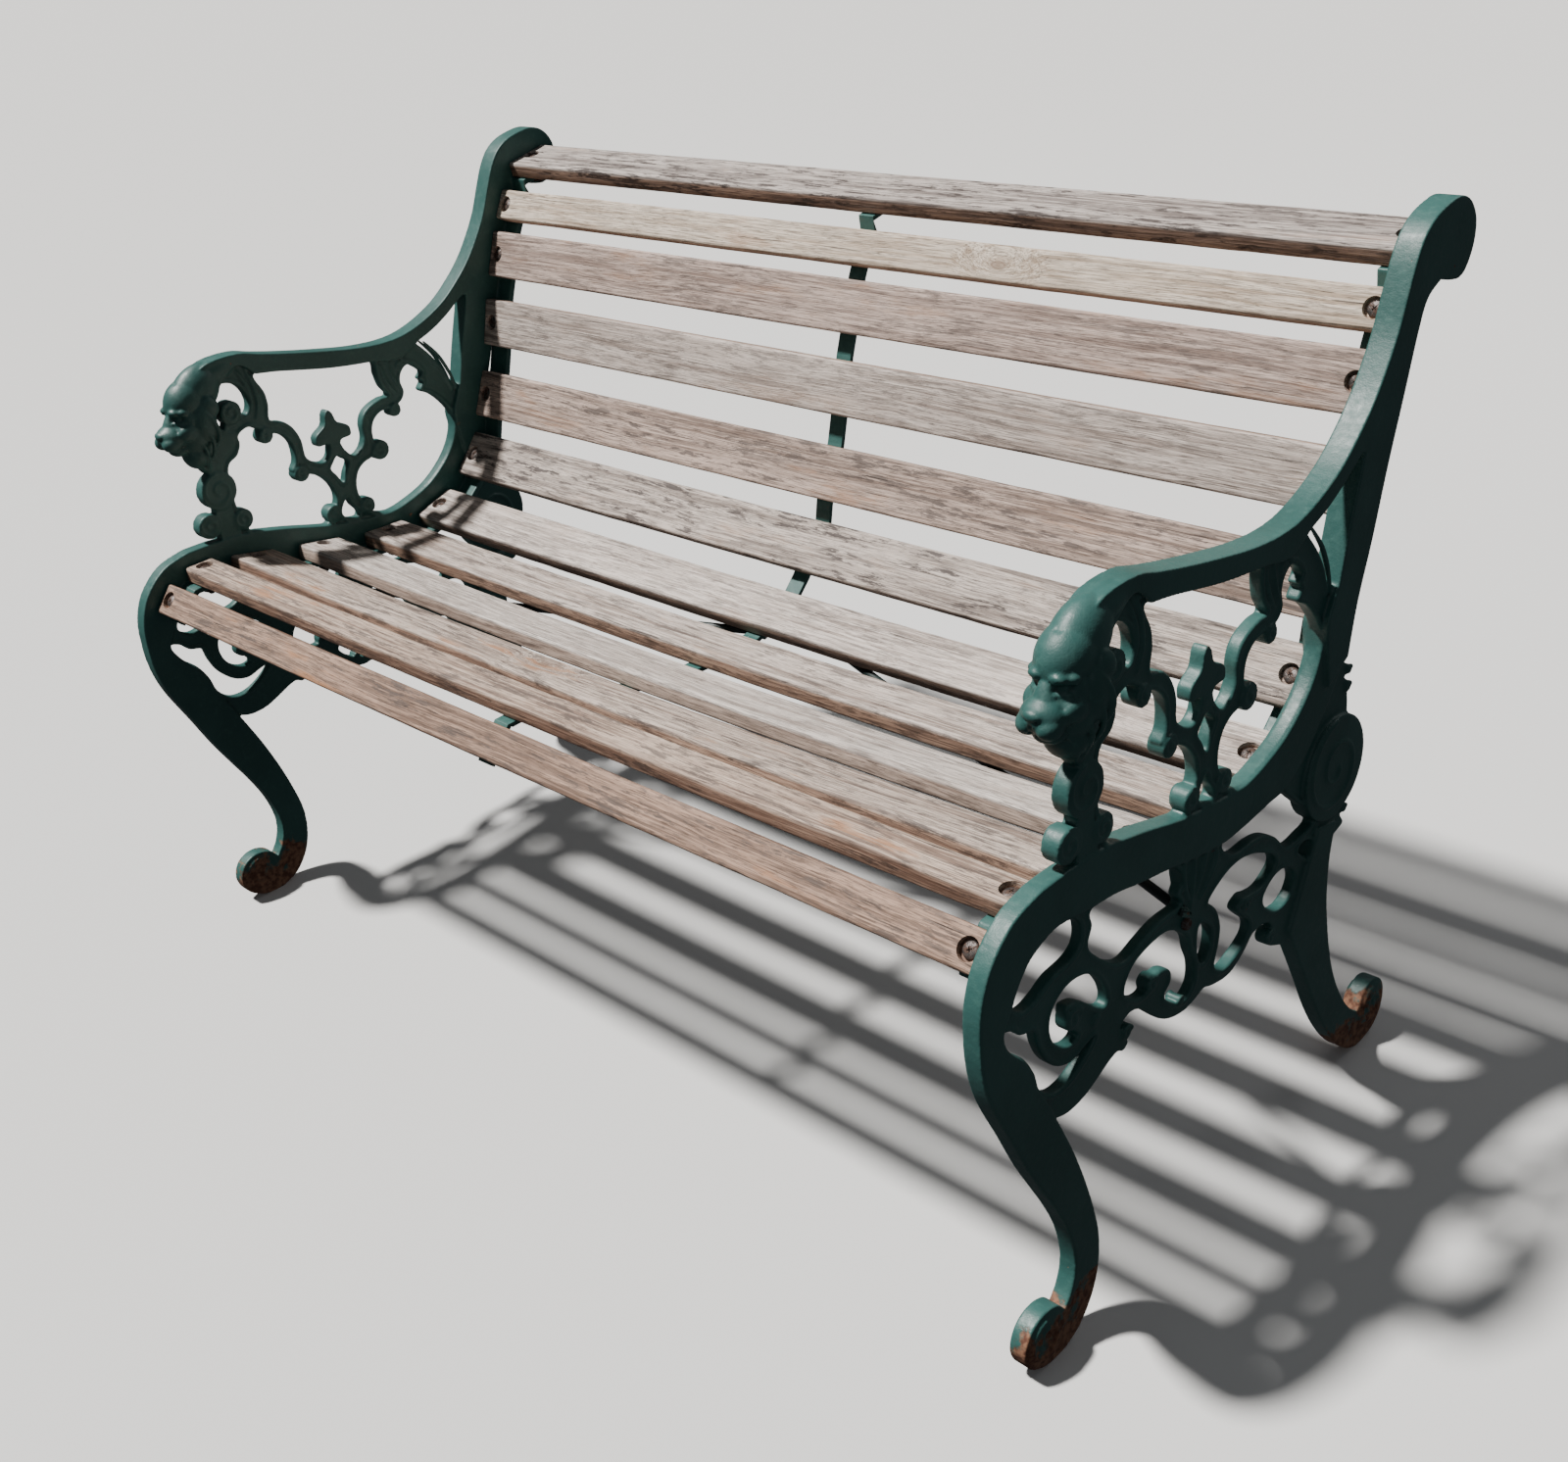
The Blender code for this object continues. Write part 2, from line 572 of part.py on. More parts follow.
def screw(name, frame, place, under, steel):
    """A small pan-head screw driven up into a slat; under is the depth of its head's seat."""
    seat = -under - GAP
    profile = [
        (SCREW_RADIUS * 0.5, SCREW_BITE - SLAT_THICK),
        (SCREW_RADIUS, SCREW_BITE - SLAT_THICK - 2.0),
        (SCREW_RADIUS, seat),
        (SCREW_HEAD_RADIUS, seat),
        (SCREW_HEAD_RADIUS * 0.7, seat - SCREW_HEAD_HEIGHT),
    ]
    mesh = mesh_from(name, lambda bm: turned(bm, frame, *place, profile, SCREW_SIDES))
    made = add_object(name, mesh, steel)
    smooth(made, 40)


def strap(paint):
    """The flat bar under the slats at mid length, with its screw holes."""
    half = STRAP_WIDTH / 2
    outline = ledge_outline(STRAP_THICK, True)
    mesh = mesh_from("centre_strap", lambda bm: prism(bm, outline, -half, half))
    made = add_object("centre_strap", mesh, paint)

    def build(bm):
        radius = SCREW_RADIUS + GAP
        hole = [(radius, CUT_MARGIN - SLAT_THICK), (radius, -SLAT_THICK - STRAP_THICK - CUT_MARGIN)]
        for frame in SLATS:
            for u, v in screw_places(frame):
                turned(bm, frame, u, v, hole, SCREW_SIDES)

    holes = add_object("centre_strap.holes", mesh_from("centre_strap.holes", build), helper=True)
    boolean(made, "holes", "DIFFERENCE", holes)
    smooth(made, 20)


def tube(bm, start, end, radius, sides):
    """A round bar between two world points."""
    direction = (end - start).normalized()
    across = direction.cross(Vector((0, 0, 1))).normalized()
    up = across.cross(direction)
    rings = []
    for centre in (start, end):
        ring = []
        for i in range(sides):
            angle = 2 * pi * i / sides
            ring.append(bm.verts.new(centre + (across * cos(angle) + up * sin(angle)) * radius))
        rings.append(ring)
    bm.faces.new(rings[0])
    bm.faces.new(rings[1])
    for i in range(sides):
        j = (i + 1) % sides
        bm.faces.new((rings[0][i], rings[0][j], rings[1][j], rings[1][i]))


def tie_rod(name, side, paint):
    """A round stay from the strap to the casting, flattened into a drilled tab at each end."""
    frame = SLATS[SEAT_TIE_SLAT]
    u, v = tie_tab_place(side)
    drop = Vector((0, 0, -sag_at(frame, u) * MM))
    top = -SLAT_THICK - STRAP_THICK - 2 * GAP
    inner_x = side * (END_SPACING / 2 - HALF_WEB - GAP)
    half = TAB_WIDTH / 2

    def strap_tab(bm):
        corners = [(x, y, w) for w in (top, top - TAB_THICK) for x, y in
                   ((u - TAB_HALF, v - half), (u + TAB_HALF + 8, v - half), (u + TAB_HALF + 8, v + half),
                    (u - TAB_HALF, v + half))]
        if side < 0:
            corners = [(2 * u - x, y, w) for x, y, w in corners]
        box(bm, [along(frame, x, y, w) + drop for x, y, w in corners])

    def casting_tab(bm):
        y, z = ROD_FOOT
        corners = [(x, y + a, z + b) for x in (inner_x, inner_x - side * TAB_THICK)
                   for a, b in ((-half, -half), (half, -half), (half, TAB_LENGTH), (-half, TAB_LENGTH))]
        box(bm, [world(*corner) for corner in corners])

    start = along(frame, u + side * (TAB_HALF + 4), v, top - TAB_THICK / 2 - 2.6) + drop
    end = world(inner_x - side * ROD_RADIUS, ROD_FOOT[0], ROD_FOOT[1] + TAB_LENGTH - ROD_RADIUS)
    bar = mesh_from(name, lambda bm: tube(bm, start, end, ROD_RADIUS * MM, ROD_SIDES))
    made = add_object(name, bar, paint)
    for label, build in (("strap_tab", strap_tab), ("casting_tab", casting_tab)):
        boolean(made, label, "UNION", add_object(f"{name}.{label}", mesh_from(label, build), helper=True))

    def holes(bm):
        radius = SCREW_RADIUS + GAP
        turned(bm, frame, u, v, [(radius, top + 3), (radius, top - CUT_REACH)], SCREW_SIDES)
        reach = sorted((inner_x + side * CUT_MARGIN, inner_x - side * CUT_REACH))
        prism(bm, circle(ROD_FOOT, TIE_BOLT_RADIUS + GAP, ROD_SIDES), *reach)

    cutter = add_object(f"{name}.holes", mesh_from("holes", holes), helper=True)
    boolean(made, "holes", "DIFFERENCE", cutter)
    smooth(made, 35)


def box(bm, corners):
    verts = [bm.verts.new(corner) for corner in corners]
    for face in ((0, 1, 2, 3), (4, 5, 6, 7), (0, 1, 5, 4), (1, 2, 6, 5), (2, 3, 7, 6), (3, 0, 4, 7)):
        bm.faces.new([verts[i] for i in face])


def tie_bolt(name, side, steel):
    """The bolt that clamps a tie rod's tab to the casting, with a head on each side."""
    inner = END_SPACING / 2 - HALF_WEB - TAB_THICK - 2 * GAP
    outer = END_SPACING / 2 + HALF_WEB + GAP
    stations = [
        (inner - 3.5, 5.2), (inner, 5.6), (inner, TIE_BOLT_RADIUS), (outer, TIE_BOLT_RADIUS), (outer, 6.0),
        (outer + 4.0, 5.0),
    ]

    def build(bm):
        rings = [
            [bm.verts.new(world(side * x, y, z)) for y, z in circle(ROD_FOOT, radius, ROD_SIDES)]
            for x, radius in stations
        ]
        bm.faces.new(rings[0])
        bm.faces.new(rings[-1])
        for a, b in zip(rings, rings[1:]):
            for i in range(ROD_SIDES):
                j = (i + 1) % ROD_SIDES
                bm.faces.new((a[i], a[j], b[j], b[i]))

    made = add_object(name, mesh_from(name, build), steel)
    smooth(made, 40)


def main():
    clear_scene()
    paint = material("cast_iron_paint", PAINT, 0.45)
    steel = material("fastener_steel", STEEL, 0.5, 0.8)
    sides = (("left", -1), ("right", 1))
    for label, side in sides:
        casting(f"end_casting_{label}", side, paint)
        tie_rod(f"tie_rod_{label}", side, paint)
        tie_bolt(f"tie_rod_bolt_{label}", side, steel)
    strap(paint)
    for frame, colour in zip(SLATS, WOODS):
        slat(frame, material(f"{frame[0]}_wood", colour, 0.75))
        for label, side in sides:
            bolt(f"bolt_{frame[0]}_{label}", frame, side, steel)
        screw(f"strap_screw_{frame[0]}", frame, (0.0, 0.0), SLAT_THICK + STRAP_THICK + GAP, steel)
    tie_frame = SLATS[SEAT_TIE_SLAT]
    depth = SLAT_THICK + STRAP_THICK + TAB_THICK + 2 * GAP
    for label, side in sides:
        screw(f"tie_rod_screw_{label}", tie_frame, tie_tab_place(side), depth, steel)


main()
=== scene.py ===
"""Looks for the garden bench: cast-iron ends with lions' heads, weathered slats, bolts, stays and paint.

Side-elevation points are in millimetres as (y, z), as in the CAD source: y runs backwards from the
ground contact of the front foot and z runs up. world() turns them into the frame's metres.
"""

from math import cos, hypot, pi, radians, sin

import bmesh
import bpy
import numpy as np
from mathutils import Matrix, Vector, noise
from mathutils.geometry import tessellate_polygon

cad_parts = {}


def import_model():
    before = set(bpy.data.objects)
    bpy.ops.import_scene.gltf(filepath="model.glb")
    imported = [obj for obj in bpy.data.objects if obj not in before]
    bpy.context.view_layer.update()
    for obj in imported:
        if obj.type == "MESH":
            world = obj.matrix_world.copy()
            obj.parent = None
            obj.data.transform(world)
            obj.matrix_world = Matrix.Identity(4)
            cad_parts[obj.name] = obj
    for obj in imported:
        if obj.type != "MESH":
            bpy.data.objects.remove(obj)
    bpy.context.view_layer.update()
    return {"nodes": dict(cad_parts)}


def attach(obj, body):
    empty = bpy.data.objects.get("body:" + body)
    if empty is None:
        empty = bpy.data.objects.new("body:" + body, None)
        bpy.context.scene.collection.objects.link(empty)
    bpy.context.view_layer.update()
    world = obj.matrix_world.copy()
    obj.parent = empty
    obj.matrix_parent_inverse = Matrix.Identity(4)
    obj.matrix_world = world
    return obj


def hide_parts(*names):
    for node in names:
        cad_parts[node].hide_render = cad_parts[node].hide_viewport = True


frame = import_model()

MM = 0.001
BODY = "root"

# Sizes shared with the CAD source, in millimetres.
END_SPACING = 1200.0
DEPTH_ORIGIN = 266.0
HALF_WEB = 4.5
HALF_PANEL = 5.2
HALF_COLUMN = 6.6
HALF_BEAD = 7.6
HALF_BACK_LEG = 8.2
HALF_RIM = 8.6
HALF_VOLUTE = 9.1
HALF_FOOT = 9.6
HALF_ARM = 12.0
SLAT_THICK = 18.0
SLAT_END = END_SPACING / 2 - HALF_ARM - 0.5
LEDGE_THICK = 7.0
LEDGE_REACH = 37.0
LEDGE_ROOT = 3.0
FREE_SPAN = END_SPACING / 2 - LEDGE_REACH - 4.0
BOLT_INSET = 12.5
HEAD_RADIUS = 7.2
HEAD_HEIGHT = 4.0
SHANK_RADIUS = 3.6
HOLE_RADIUS = 4.2
SINK_RADIUS = 9.5
SINK_DEPTH = 6.0
NUT_HALF = 6.5
NUT_HEIGHT = 6.0
BOLT_STUB = 3.0
GAP = 0.3
STRAP_THICK = 5.0
ROD_RADIUS = 4.4
TAB_THICK = 4.0
TAB_HALF = 9.0
TAB_LENGTH = 17.0
ROD_FOOT = (184.0, 318.0)
TIE_SLAT = 5
TIE_OFFSET = 17.0

# Finish of the meshes.
VOXEL = 1.25
CASTING_SHARE = 0.42  # share of the remeshed faces that a casting keeps
CURVE_STEPS = 5
STATIONS = 72  # cross-sections along a slat

# Detail that only these looks have, in millimetres.
HOLE_STEPS = 4  # curve steps between the points of a closed outline
LEDGE_OVERHANG = 3
BORDER_OFFSET = 2.6
BORDER_RADIUS = 1.9
VEIN_RADIUS = 2.6
LEAF_TIP_SHARE = 0.62
LEAF_TIP_RISE = 0.6
LEAF_TIP_LINE = 1.5
HEAD_BACK = 100
HEAD_BOTTOM = 520
ARRIS = 2.6
ARRIS_REACH = 5
END_BEVEL = 0.8
HOLE_CLEARANCE = 3.0
DOME_BASE = 1.2
DOME_TURNS = (0.08, 0.3, 0.5, 0.7, 0.9, 1.1, 1.3, 1.48)
NUT_CHAMFER = 0.7
THREAD_DEPTH = 0.5
CROSS_SIZE = (7.6, 1.5, 5.0)
CROSS_RISE = 0.4
CROSS_TAPER = 0.45
STAY_SIDES = 24
TAB_WIDE = 6.5
TAB_FLAT_LENGTH = 28
TAB_FADE = 10
CAD_BEVEL = 0.5
CAD_WELD = 0.01

# name, face centre (y, z), slope in degrees, width, sag at mid length.
SLATS = [
    ("seat_slat_1_front", (-46.5, 418.0), 48.5, 35.0, 2.0),
    ("seat_slat_2", (6.0, 440.5), 0.0, 35.0, 3.0),
    ("seat_slat_3", (73.0, 428.0), -13.0, 56.0, 7.0),
    ("seat_slat_4", (160.0, 409.5), -12.0, 56.0, 8.0),
    ("seat_slat_5", (250.0, 394.5), -4.0, 57.0, 6.0),
    ("seat_slat_6", (328.0, 399.5), 17.0, 56.0, 3.0),
    ("back_slat_1_lowest", (391.5, 444.0), 48.0, 57.0, 1.0),
    ("back_slat_2", (427.5, 511.0), 65.5, 57.0, 0.0),
    ("back_slat_3", (457.0, 594.0), 73.5, 56.0, 0.0),
    ("back_slat_4", (485.0, 672.5), 68.6, 55.0, 0.0),
    ("back_slat_5", (511.0, 727.5), 60.0, 36.0, 0.0),
    ("top_slat", (564.5, 775.5), 11.0, 58.0, 0.0),
]

# Outlines of the casting, as runs of (y, z) points. A run is a smooth curve, and runs meet in corners.
FRONT_FOOT = [(9, 53), (1, 43)], [
    (1, 43), (-9, 55), (-27, 60), (-45, 52), (-53, 34), (-47, 15), (-30, 3), (-14, 0),
], [(-14, 0), (-2, 0)]
FRONT_LEG_BACK = [
    (-2, 0), (20, 9), (38, 29), (48, 54), (51, 84), (46, 116), (36, 155), (22, 197), (4, 241),
]
BAND_UNDERSIDE = [
    [(4, 241), (-5, 262), (-16, 284), (-21, 304), (-32, 322), (-47, 340), (-52, 358), (-42, 374)],
    [(-42, 374), (-34, 388), (-20, 403), (-2, 411), (16, 414), (40, 410)],
    [(40, 410), (62, 406), (89, 402), (119, 394), (158, 385), (196, 375)],
    [(196, 375), (240, 367), (271, 367), (306, 369), (332, 371), (365, 388), (398, 420)],
]
POST_FOOT = [[(398, 420), (424, 452)], [(424, 452), (405, 492)]]
SEAT_RIM_TOP = [
    (387, 494), (384, 475), (373, 455), (355, 437), (330, 421), (300, 411), (268, 406), (226, 411),
    (190, 418), (165, 425), (130, 436), (105, 443), (80, 449), (30, 454), (0, 455),
]
FRONT_EDGE = [
    (0, 455), (-34, 447), (-61, 425), (-75, 397), (-79, 366), (-78, 335), (-70, 302), (-51, 257),
    (-34, 216), (-17, 181), (-3, 153), (10, 122), (17, 92), (16, 70), (9, 53),
]
BACK_LEG = [
    [(345, 215), (356, 189), (369, 161), (383, 130), (396, 100), (412, 69), (431, 40), (449, 19),
     (464, 7), (480, 0)],
    [(480, 0), (494, 0)],
    [(494, 0), (512, 4), (526, 17), (531, 37), (524, 55), (506, 64), (489, 57), (479, 43)],
    [(479, 43), (465, 55), (450, 75), (437, 99), (426, 126), (418, 157), (413, 188), (410, 220),
     (413, 260), (422, 292)],
    [(422, 292), (392, 300)],
    [(392, 300), (345, 215)],
]
LOWER_WEB = [
    [(341, 203), (332, 208), (319, 215), (313, 222), (316, 229), (321, 233)],
    [(321, 233), (317, 240), (310, 244), (300, 246), (289, 245), (280, 238), (267, 230), (250, 225),
     (228, 229), (213, 235)],
    [(213, 235), (197, 231), (182, 230), (163, 235), (147, 245), (132, 260), (121, 271), (110, 276),
     (100, 275), (94, 270), (96, 264), (101, 257), (104, 249)],
    [(104, 249), (97, 245), (89, 249), (78, 247), (60, 240), (41, 234), (19, 234), (0, 242)],
    [(0, 242), (-24, 270), (-36, 300), (-60, 340), (-62, 372), (-50, 408), (-25, 432), (10, 441),
     (60, 436), (110, 427), (170, 408), (230, 396), (290, 394), (340, 408), (380, 432), (410, 446)],
    [(410, 446), (426, 448), (441, 438)],
    [(441, 438), (433, 430)],
    [(433, 430), (441, 422)],
    [(441, 422), (435, 415)],
    [(435, 415), (440, 405), (440, 300)],
    [(440, 300), (435, 291), (441, 280), (432, 276), (400, 270)],
    [(400, 270), (380, 210)],
    [(380, 210), (341, 203)],
]
LOWER_HOLES = [
    [(-37, 372), (-31, 386), (-21, 399), (-6, 408), (13, 413), (33, 410), (46, 398), (46, 381),
     (34, 373), (10, 371), (-8, 364), (-25, 362)],
    [(60, 402), (89, 402), (119, 394), (158, 385), (176, 374), (181, 360), (175, 349), (178, 339),
     (150, 340), (125, 336), (104, 331), (89, 336), (70, 352), (55, 372), (61, 388)],
    [(38, 299), (28, 297), (17, 302), (8, 312), (4, 326), (7, 340), (18, 350), (34, 353), (52, 348),
     (65, 337), (74, 322), (77, 309), (72, 305), (62, 311), (50, 322), (38, 331), (25, 333),
     (25, 320), (32, 308)],
    [(-52, 356), (-42, 335), (-27, 319), (-17, 300), (-12, 281), (3, 266), (24, 264), (46, 273),
     (60, 285), (47, 284), (30, 280), (12, 286), (-3, 302), (-11, 321), (-15, 337), (-30, 343),
     (-40, 353)],
    [(240, 366), (271, 366), (306, 368), (330, 369), (340, 360), (352, 348), (367, 334), (383, 322),
     (385, 308), (367, 305), (350, 304), (337, 310), (324, 325), (306, 337), (286, 342), (262, 343),
     (246, 352)],
    [(219, 320), (241, 331), (263, 334), (285, 329), (304, 320), (320, 309), (324, 298), (314, 291),
     (300, 287), (284, 290), (270, 292), (262, 286), (268, 277), (282, 262), (281, 250), (266, 242),
     (246, 237), (234, 241), (228, 251), (234, 268), (237, 285), (232, 303), (224, 313)],
    [(100, 298), (103, 312), (116, 322), (141, 326), (160, 324), (176, 314), (188, 301), (192, 285),
     (198, 268), (197, 251), (185, 242), (170, 247), (159, 256), (154, 265), (163, 273),
     (163, 284), (153, 291), (141, 291), (130, 283), (116, 285)],
    [(205, 303), (213, 301), (223, 289), (222, 273), (216, 263), (208, 264), (203, 275), (202, 290)],
    [(304, 272), (310, 281), (323, 287), (338, 286), (352, 277), (357, 264), (350, 253), (337, 248),
     (322, 251), (310, 261)],
    [(361, 292), (368, 296), (379, 293), (391, 283), (391, 276), (382, 274), (371, 281)],
]
ARM_AND_POST = [
    [(58, 642), (77, 652), (100, 654), (123, 652), (145, 645), (181, 635), (226, 624), (274, 614),
     (320, 610), (358, 616), (398, 632), (428, 653), (451, 674), (471, 699), (486, 722), (499, 749),
     (511, 772), (524, 788), (541, 798), (562, 803), (580, 804), (595, 799), (606, 788), (611, 774),
     (608, 757), (598, 742), (586, 736), (570, 738), (553, 743)],
    [(553, 743), (532, 733), (519, 710), (500, 662), (478, 608), (457, 550), (437, 502), (424, 456)],
    [(424, 456), (392, 440)],
    [(392, 440), (387, 494), (395, 516), (404, 532)],
    [(404, 532), (414, 564), (424, 593), (433, 618), (438, 635)],
    [(438, 635), (427, 631), (404, 617), (381, 606), (357, 598)],
    [(357, 598), (326, 585), (292, 592)],
    [(292, 592), (258, 597), (226, 603), (193, 611), (161, 619), (135, 624)],
    [(135, 624), (112, 640), (70, 612), (58, 642)],
]
ARM_PANEL = [
    [(66, 446), (62, 500), (56, 560), (60, 640)],
    [(60, 640), (104, 642), (145, 634), (226, 614), (290, 602), (330, 601), (380, 616), (440, 652)],
    [(440, 652), (447, 634), (424, 560), (402, 492)],
    [(402, 492), (390, 455), (355, 424), (320, 405), (268, 396), (210, 404), (150, 420), (100, 436),
     (66, 446)],
]
ARM_HOLES = [
    [(67, 571), (65, 588), (67, 606), (76, 619), (92, 624), (107, 620), (117, 609), (120, 594),
     (115, 583), (104, 584), (88, 583), (79, 571)],
    [(76, 531), (90, 540), (97, 551), (98, 562), (112, 567), (124, 560), (137, 552), (150, 545),
     (159, 534), (161, 520), (159, 508), (153, 499), (160, 491), (174, 488), (188, 479), (198, 465),
     (201, 449), (194, 434), (181, 422), (158, 426), (130, 436), (105, 443), (84, 449), (76, 468),
     (72, 500)],
    [(137, 624), (193, 611), (258, 597), (290, 591), (292, 575), (295, 559), (302, 546), (289, 545),
     (274, 541), (263, 534), (257, 522), (256, 506), (248, 494), (237, 490), (227, 501),
     (222, 512), (209, 512), (204, 501), (194, 496), (181, 502), (174, 511), (174, 530),
     (168, 547), (157, 559), (141, 566), (144, 584), (143, 600)],
    [(241, 417), (268, 407), (300, 412), (330, 422), (355, 438), (373, 456), (384, 476), (387, 493),
     (376, 513), (362, 528), (348, 537), (354, 546), (350, 552), (356, 558), (349, 566), (338, 573),
     (328, 568), (323, 557), (325, 543), (318, 533), (303, 530), (286, 529), (274, 521), (269, 508),
     (269, 494), (264, 481), (249, 477), (238, 469), (232, 455), (232, 441), (238, 428)],
    [(357, 597), (381, 604), (404, 616), (427, 630), (438, 634), (434, 617), (425, 593), (415, 566),
     (405, 534), (399, 528), (393, 538), (386, 553), (374, 573), (364, 586)],
    [(215, 497), (208, 491), (203, 484), (209, 474), (215, 463), (221, 474), (228, 485), (222, 491)],
    [(214, 443), (204, 430), (208, 420), (223, 416), (226, 422), (219, 432)],
]
COLUMN = [
    (45, 440), (68, 440), (66, 480), (66, 520), (72, 540), (96, 562), (80, 574), (64, 600), (50, 600),
    (44, 560), (50, 530), (47, 500),
]
FINIAL = [
    (208, 500), (208, 514), (193, 516), (193, 528), (207, 537), (211, 549), (216, 554), (221, 549),
    (225, 537), (239, 528), (239, 516), (224, 514), (223, 500),
]
BEADS = [
    ((56.5, 509), 22.0), ((34, 473), 14.5), ((76, 467), 12.5), ((95, 590), 13.5), ((130, 551), 9.3),
    ((163, 493), 9.8), ((192, 431), 10.6), ((239, 425), 10.4), ((274, 485), 12.0), ((306, 526), 8.4),
]
VOLUTE = ((415, 350), 49.0)
FOOT_SCROLLS = [((-26, 32), 23.0), ((504, 37), 22.0)]

# Looks of the slats, in the same order: light and dark wood, dark stain, warm stain, brown edges.
WOOD_LOOKS = [
    ((0.44, 0.29, 0.215), (0.16, 0.095, 0.065), 0.70, 0.85, 0.5),
    ((0.55, 0.43, 0.35), (0.22, 0.145, 0.11), 0.70, 0.85, 0.6),
    ((0.60, 0.505, 0.435), (0.25, 0.18, 0.145), 0.70, 0.80, 0.8),
    ((0.66, 0.60, 0.55), (0.36, 0.30, 0.265), 0.35, 0.15, 0.6),
    ((0.62, 0.545, 0.49), (0.28, 0.215, 0.18), 0.60, 0.40, 0.9),
    ((0.64, 0.57, 0.52), (0.33, 0.27, 0.235), 0.45, 0.15, 0.8),
    ((0.57, 0.495, 0.44), (0.21, 0.165, 0.14), 0.95, 0.25, 0.5),
    ((0.57, 0.44, 0.375), (0.21, 0.145, 0.115), 0.75, 0.50, 0.6),
    ((0.63, 0.55, 0.495), (0.31, 0.245, 0.21), 0.45, 0.20, 0.6),
    ((0.57, 0.445, 0.385), (0.24, 0.165, 0.135), 0.50, 0.40, 0.6),
    ((0.74, 0.64, 0.53), (0.38, 0.28, 0.20), 0.20, 0.35, 0.5),
    ((0.55, 0.49, 0.45), (0.18, 0.145, 0.13), 1.00, 0.20, 0.9),
]
KNOTS = {"back_slat_5": (190.0, -2.0), "seat_slat_3": (-60.0, 9.0)}

# Lion's head: ellipsoids as centre (x, y, z), radii (x, y, z) and tilt about X in degrees.
# x is measured from the casting's middle plane.
HEAD_BALLS = [
    ((0, 62, 623), (20, 37, 25.5), 40),
    ((0, 49, 618), (21.5, 27, 23), 38),
    ((0, 88, 640), (14, 34, 14), 8),
    ((0, 42, 599), (22.5, 20, 21), 0),
    ((0, 46, 580), (23.5, 21, 25), 0),
    ((0, 24, 584), (18, 19, 14.5), -6),
    ((0, 27, 600), (10, 8.5, 22), -35),
    ((0, 9, 589), (8.5, 5, 5), 0),
    ((0, 27, 568), (13, 12, 7.5), 0),
    ((0, 44, 558), (18, 15, 18), 0),
    ((0, 51, 541), (10, 8, 10), 0),
]
HEAD_PAIRS = [
    ((8.5, 17, 579), (9.5, 12, 9.5), 0),
    ((14.5, 36, 588), (10, 14, 12), 0),
    ((8.5, 27.5, 611), (7.5, 6, 4.5), -25),
    ((15, 35.5, 610), (6.5, 6.5, 5), -20),
    ((19.5, 56, 592), (7.5, 14, 22), 0),
    ((19.5, 66, 609), (6.5, 10, 13), 24),
]
# Locks of the mane behind the cheek and under the chin, as runs of (x, y, z), and their radius.
MANE = [
    ([(24, 56, 606), (26, 64, 591), (24.5, 66, 575), (17, 61, 561)], 2.8),
    ([(22.5, 49, 592), (24.5, 56, 578), (21.5, 58, 563), (14, 55, 549)], 2.5),
    ([(20, 41, 577), (21, 48, 565), (16, 50, 552), (9, 51, 539)], 2.3),
    ([(12, 32, 566), (13.5, 38, 556), (10, 43, 544), (4, 47, 535)], 2.2),
]
# Marks pushed into (negative) or out of the head: start, end, radius, depth.
HEAD_MARKS = [
    ((10, 24, 604), (18, 31, 603.5), 4.0, -3.0),
    ((12, 23, 604.5), (15.5, 27, 604.5), 2.0, 2.6),
    ((8, 23, 609), (20, 33, 607.5), 1.4, 1.2),
    ((9, 23, 600.5), (18, 30, 600), 1.3, 1.0),
    ((2, 8, 574), (17, 29, 572.5), 1.6, -2.8),
    ((4.4, 6, 585.5), (6.4, 8, 587), 1.3, -1.8),
    ((0, 5, 582), (0, 6, 575), 1.1, -1.6),
    ((15, 24, 592), (20, 36, 599), 3.0, -1.5),
    ((2, 30, 621), (2, 42, 640), 1.8, -1.0),
    ((9, 12, 580), (13, 17, 582), 0.9, -0.8),
    ((9, 12, 577), (13, 17, 578.5), 0.9, -0.8),
]

# Veins of the cast leaves, as runs of (y, z).
LEAF_VEINS = [
    [(198, 392), (197, 368), (194, 344), (190, 322)],
    [(188, 388), (182, 372), (184, 354), (190, 338)],
    [(210, 388), (214, 372), (208, 354), (198, 338)],
    [(222, 380), (230, 362), (222, 346), (206, 330)],
    [(330, 588), (334, 580), (345, 574), (356, 566)],
    [(310, 586), (312, 570), (316, 556), (322, 546)],
    [(299, 584), (301, 570), (306, 556), (313, 545)],
    [(358, 590), (372, 572), (386, 548), (394, 524)],
    [(366, 594), (383, 572), (394, 548), (400, 528)],
    [(125, 634), (130, 612), (131, 590), (124, 572)],
    [(114, 634), (122, 615), (124, 596), (118, 580)],
    [(70, 590), (60, 566), (62, 548), (70, 536)],
    [(62, 596), (53, 572), (53, 552), (58, 536)],
]
# Small rolled leaves on the panels and beside the rear volute: centre and radius.
LEAF_TIPS = [
    ((101, 262), 11.0), ((316, 226), 11.0), ((176, 246), 7.0), ((137, 286), 12.0), ((277, 284), 11.0),
    ((33, 318), 16.0), ((60, 299), 8.0), ((437, 420), 8.0), ((439, 296), 7.0), ((438, 436), 7.0),
    ((325, 575), 9.0), ((215, 508), 6.5), ((200, 521), 7.0), ((232, 521), 7.0), ((350, 215), 8.0),
]


def world(x, y, z):
    """A point in metres, from millimetres in the side elevation's coordinates."""
    return Vector((x, y - DEPTH_ORIGIN, z)) * MM


def new_object(name, mesh, material=None):
    made = bpy.data.objects.new(name, mesh)
    bpy.context.scene.collection.objects.link(made)
    if material:
        mesh.materials.append(material)
    return made


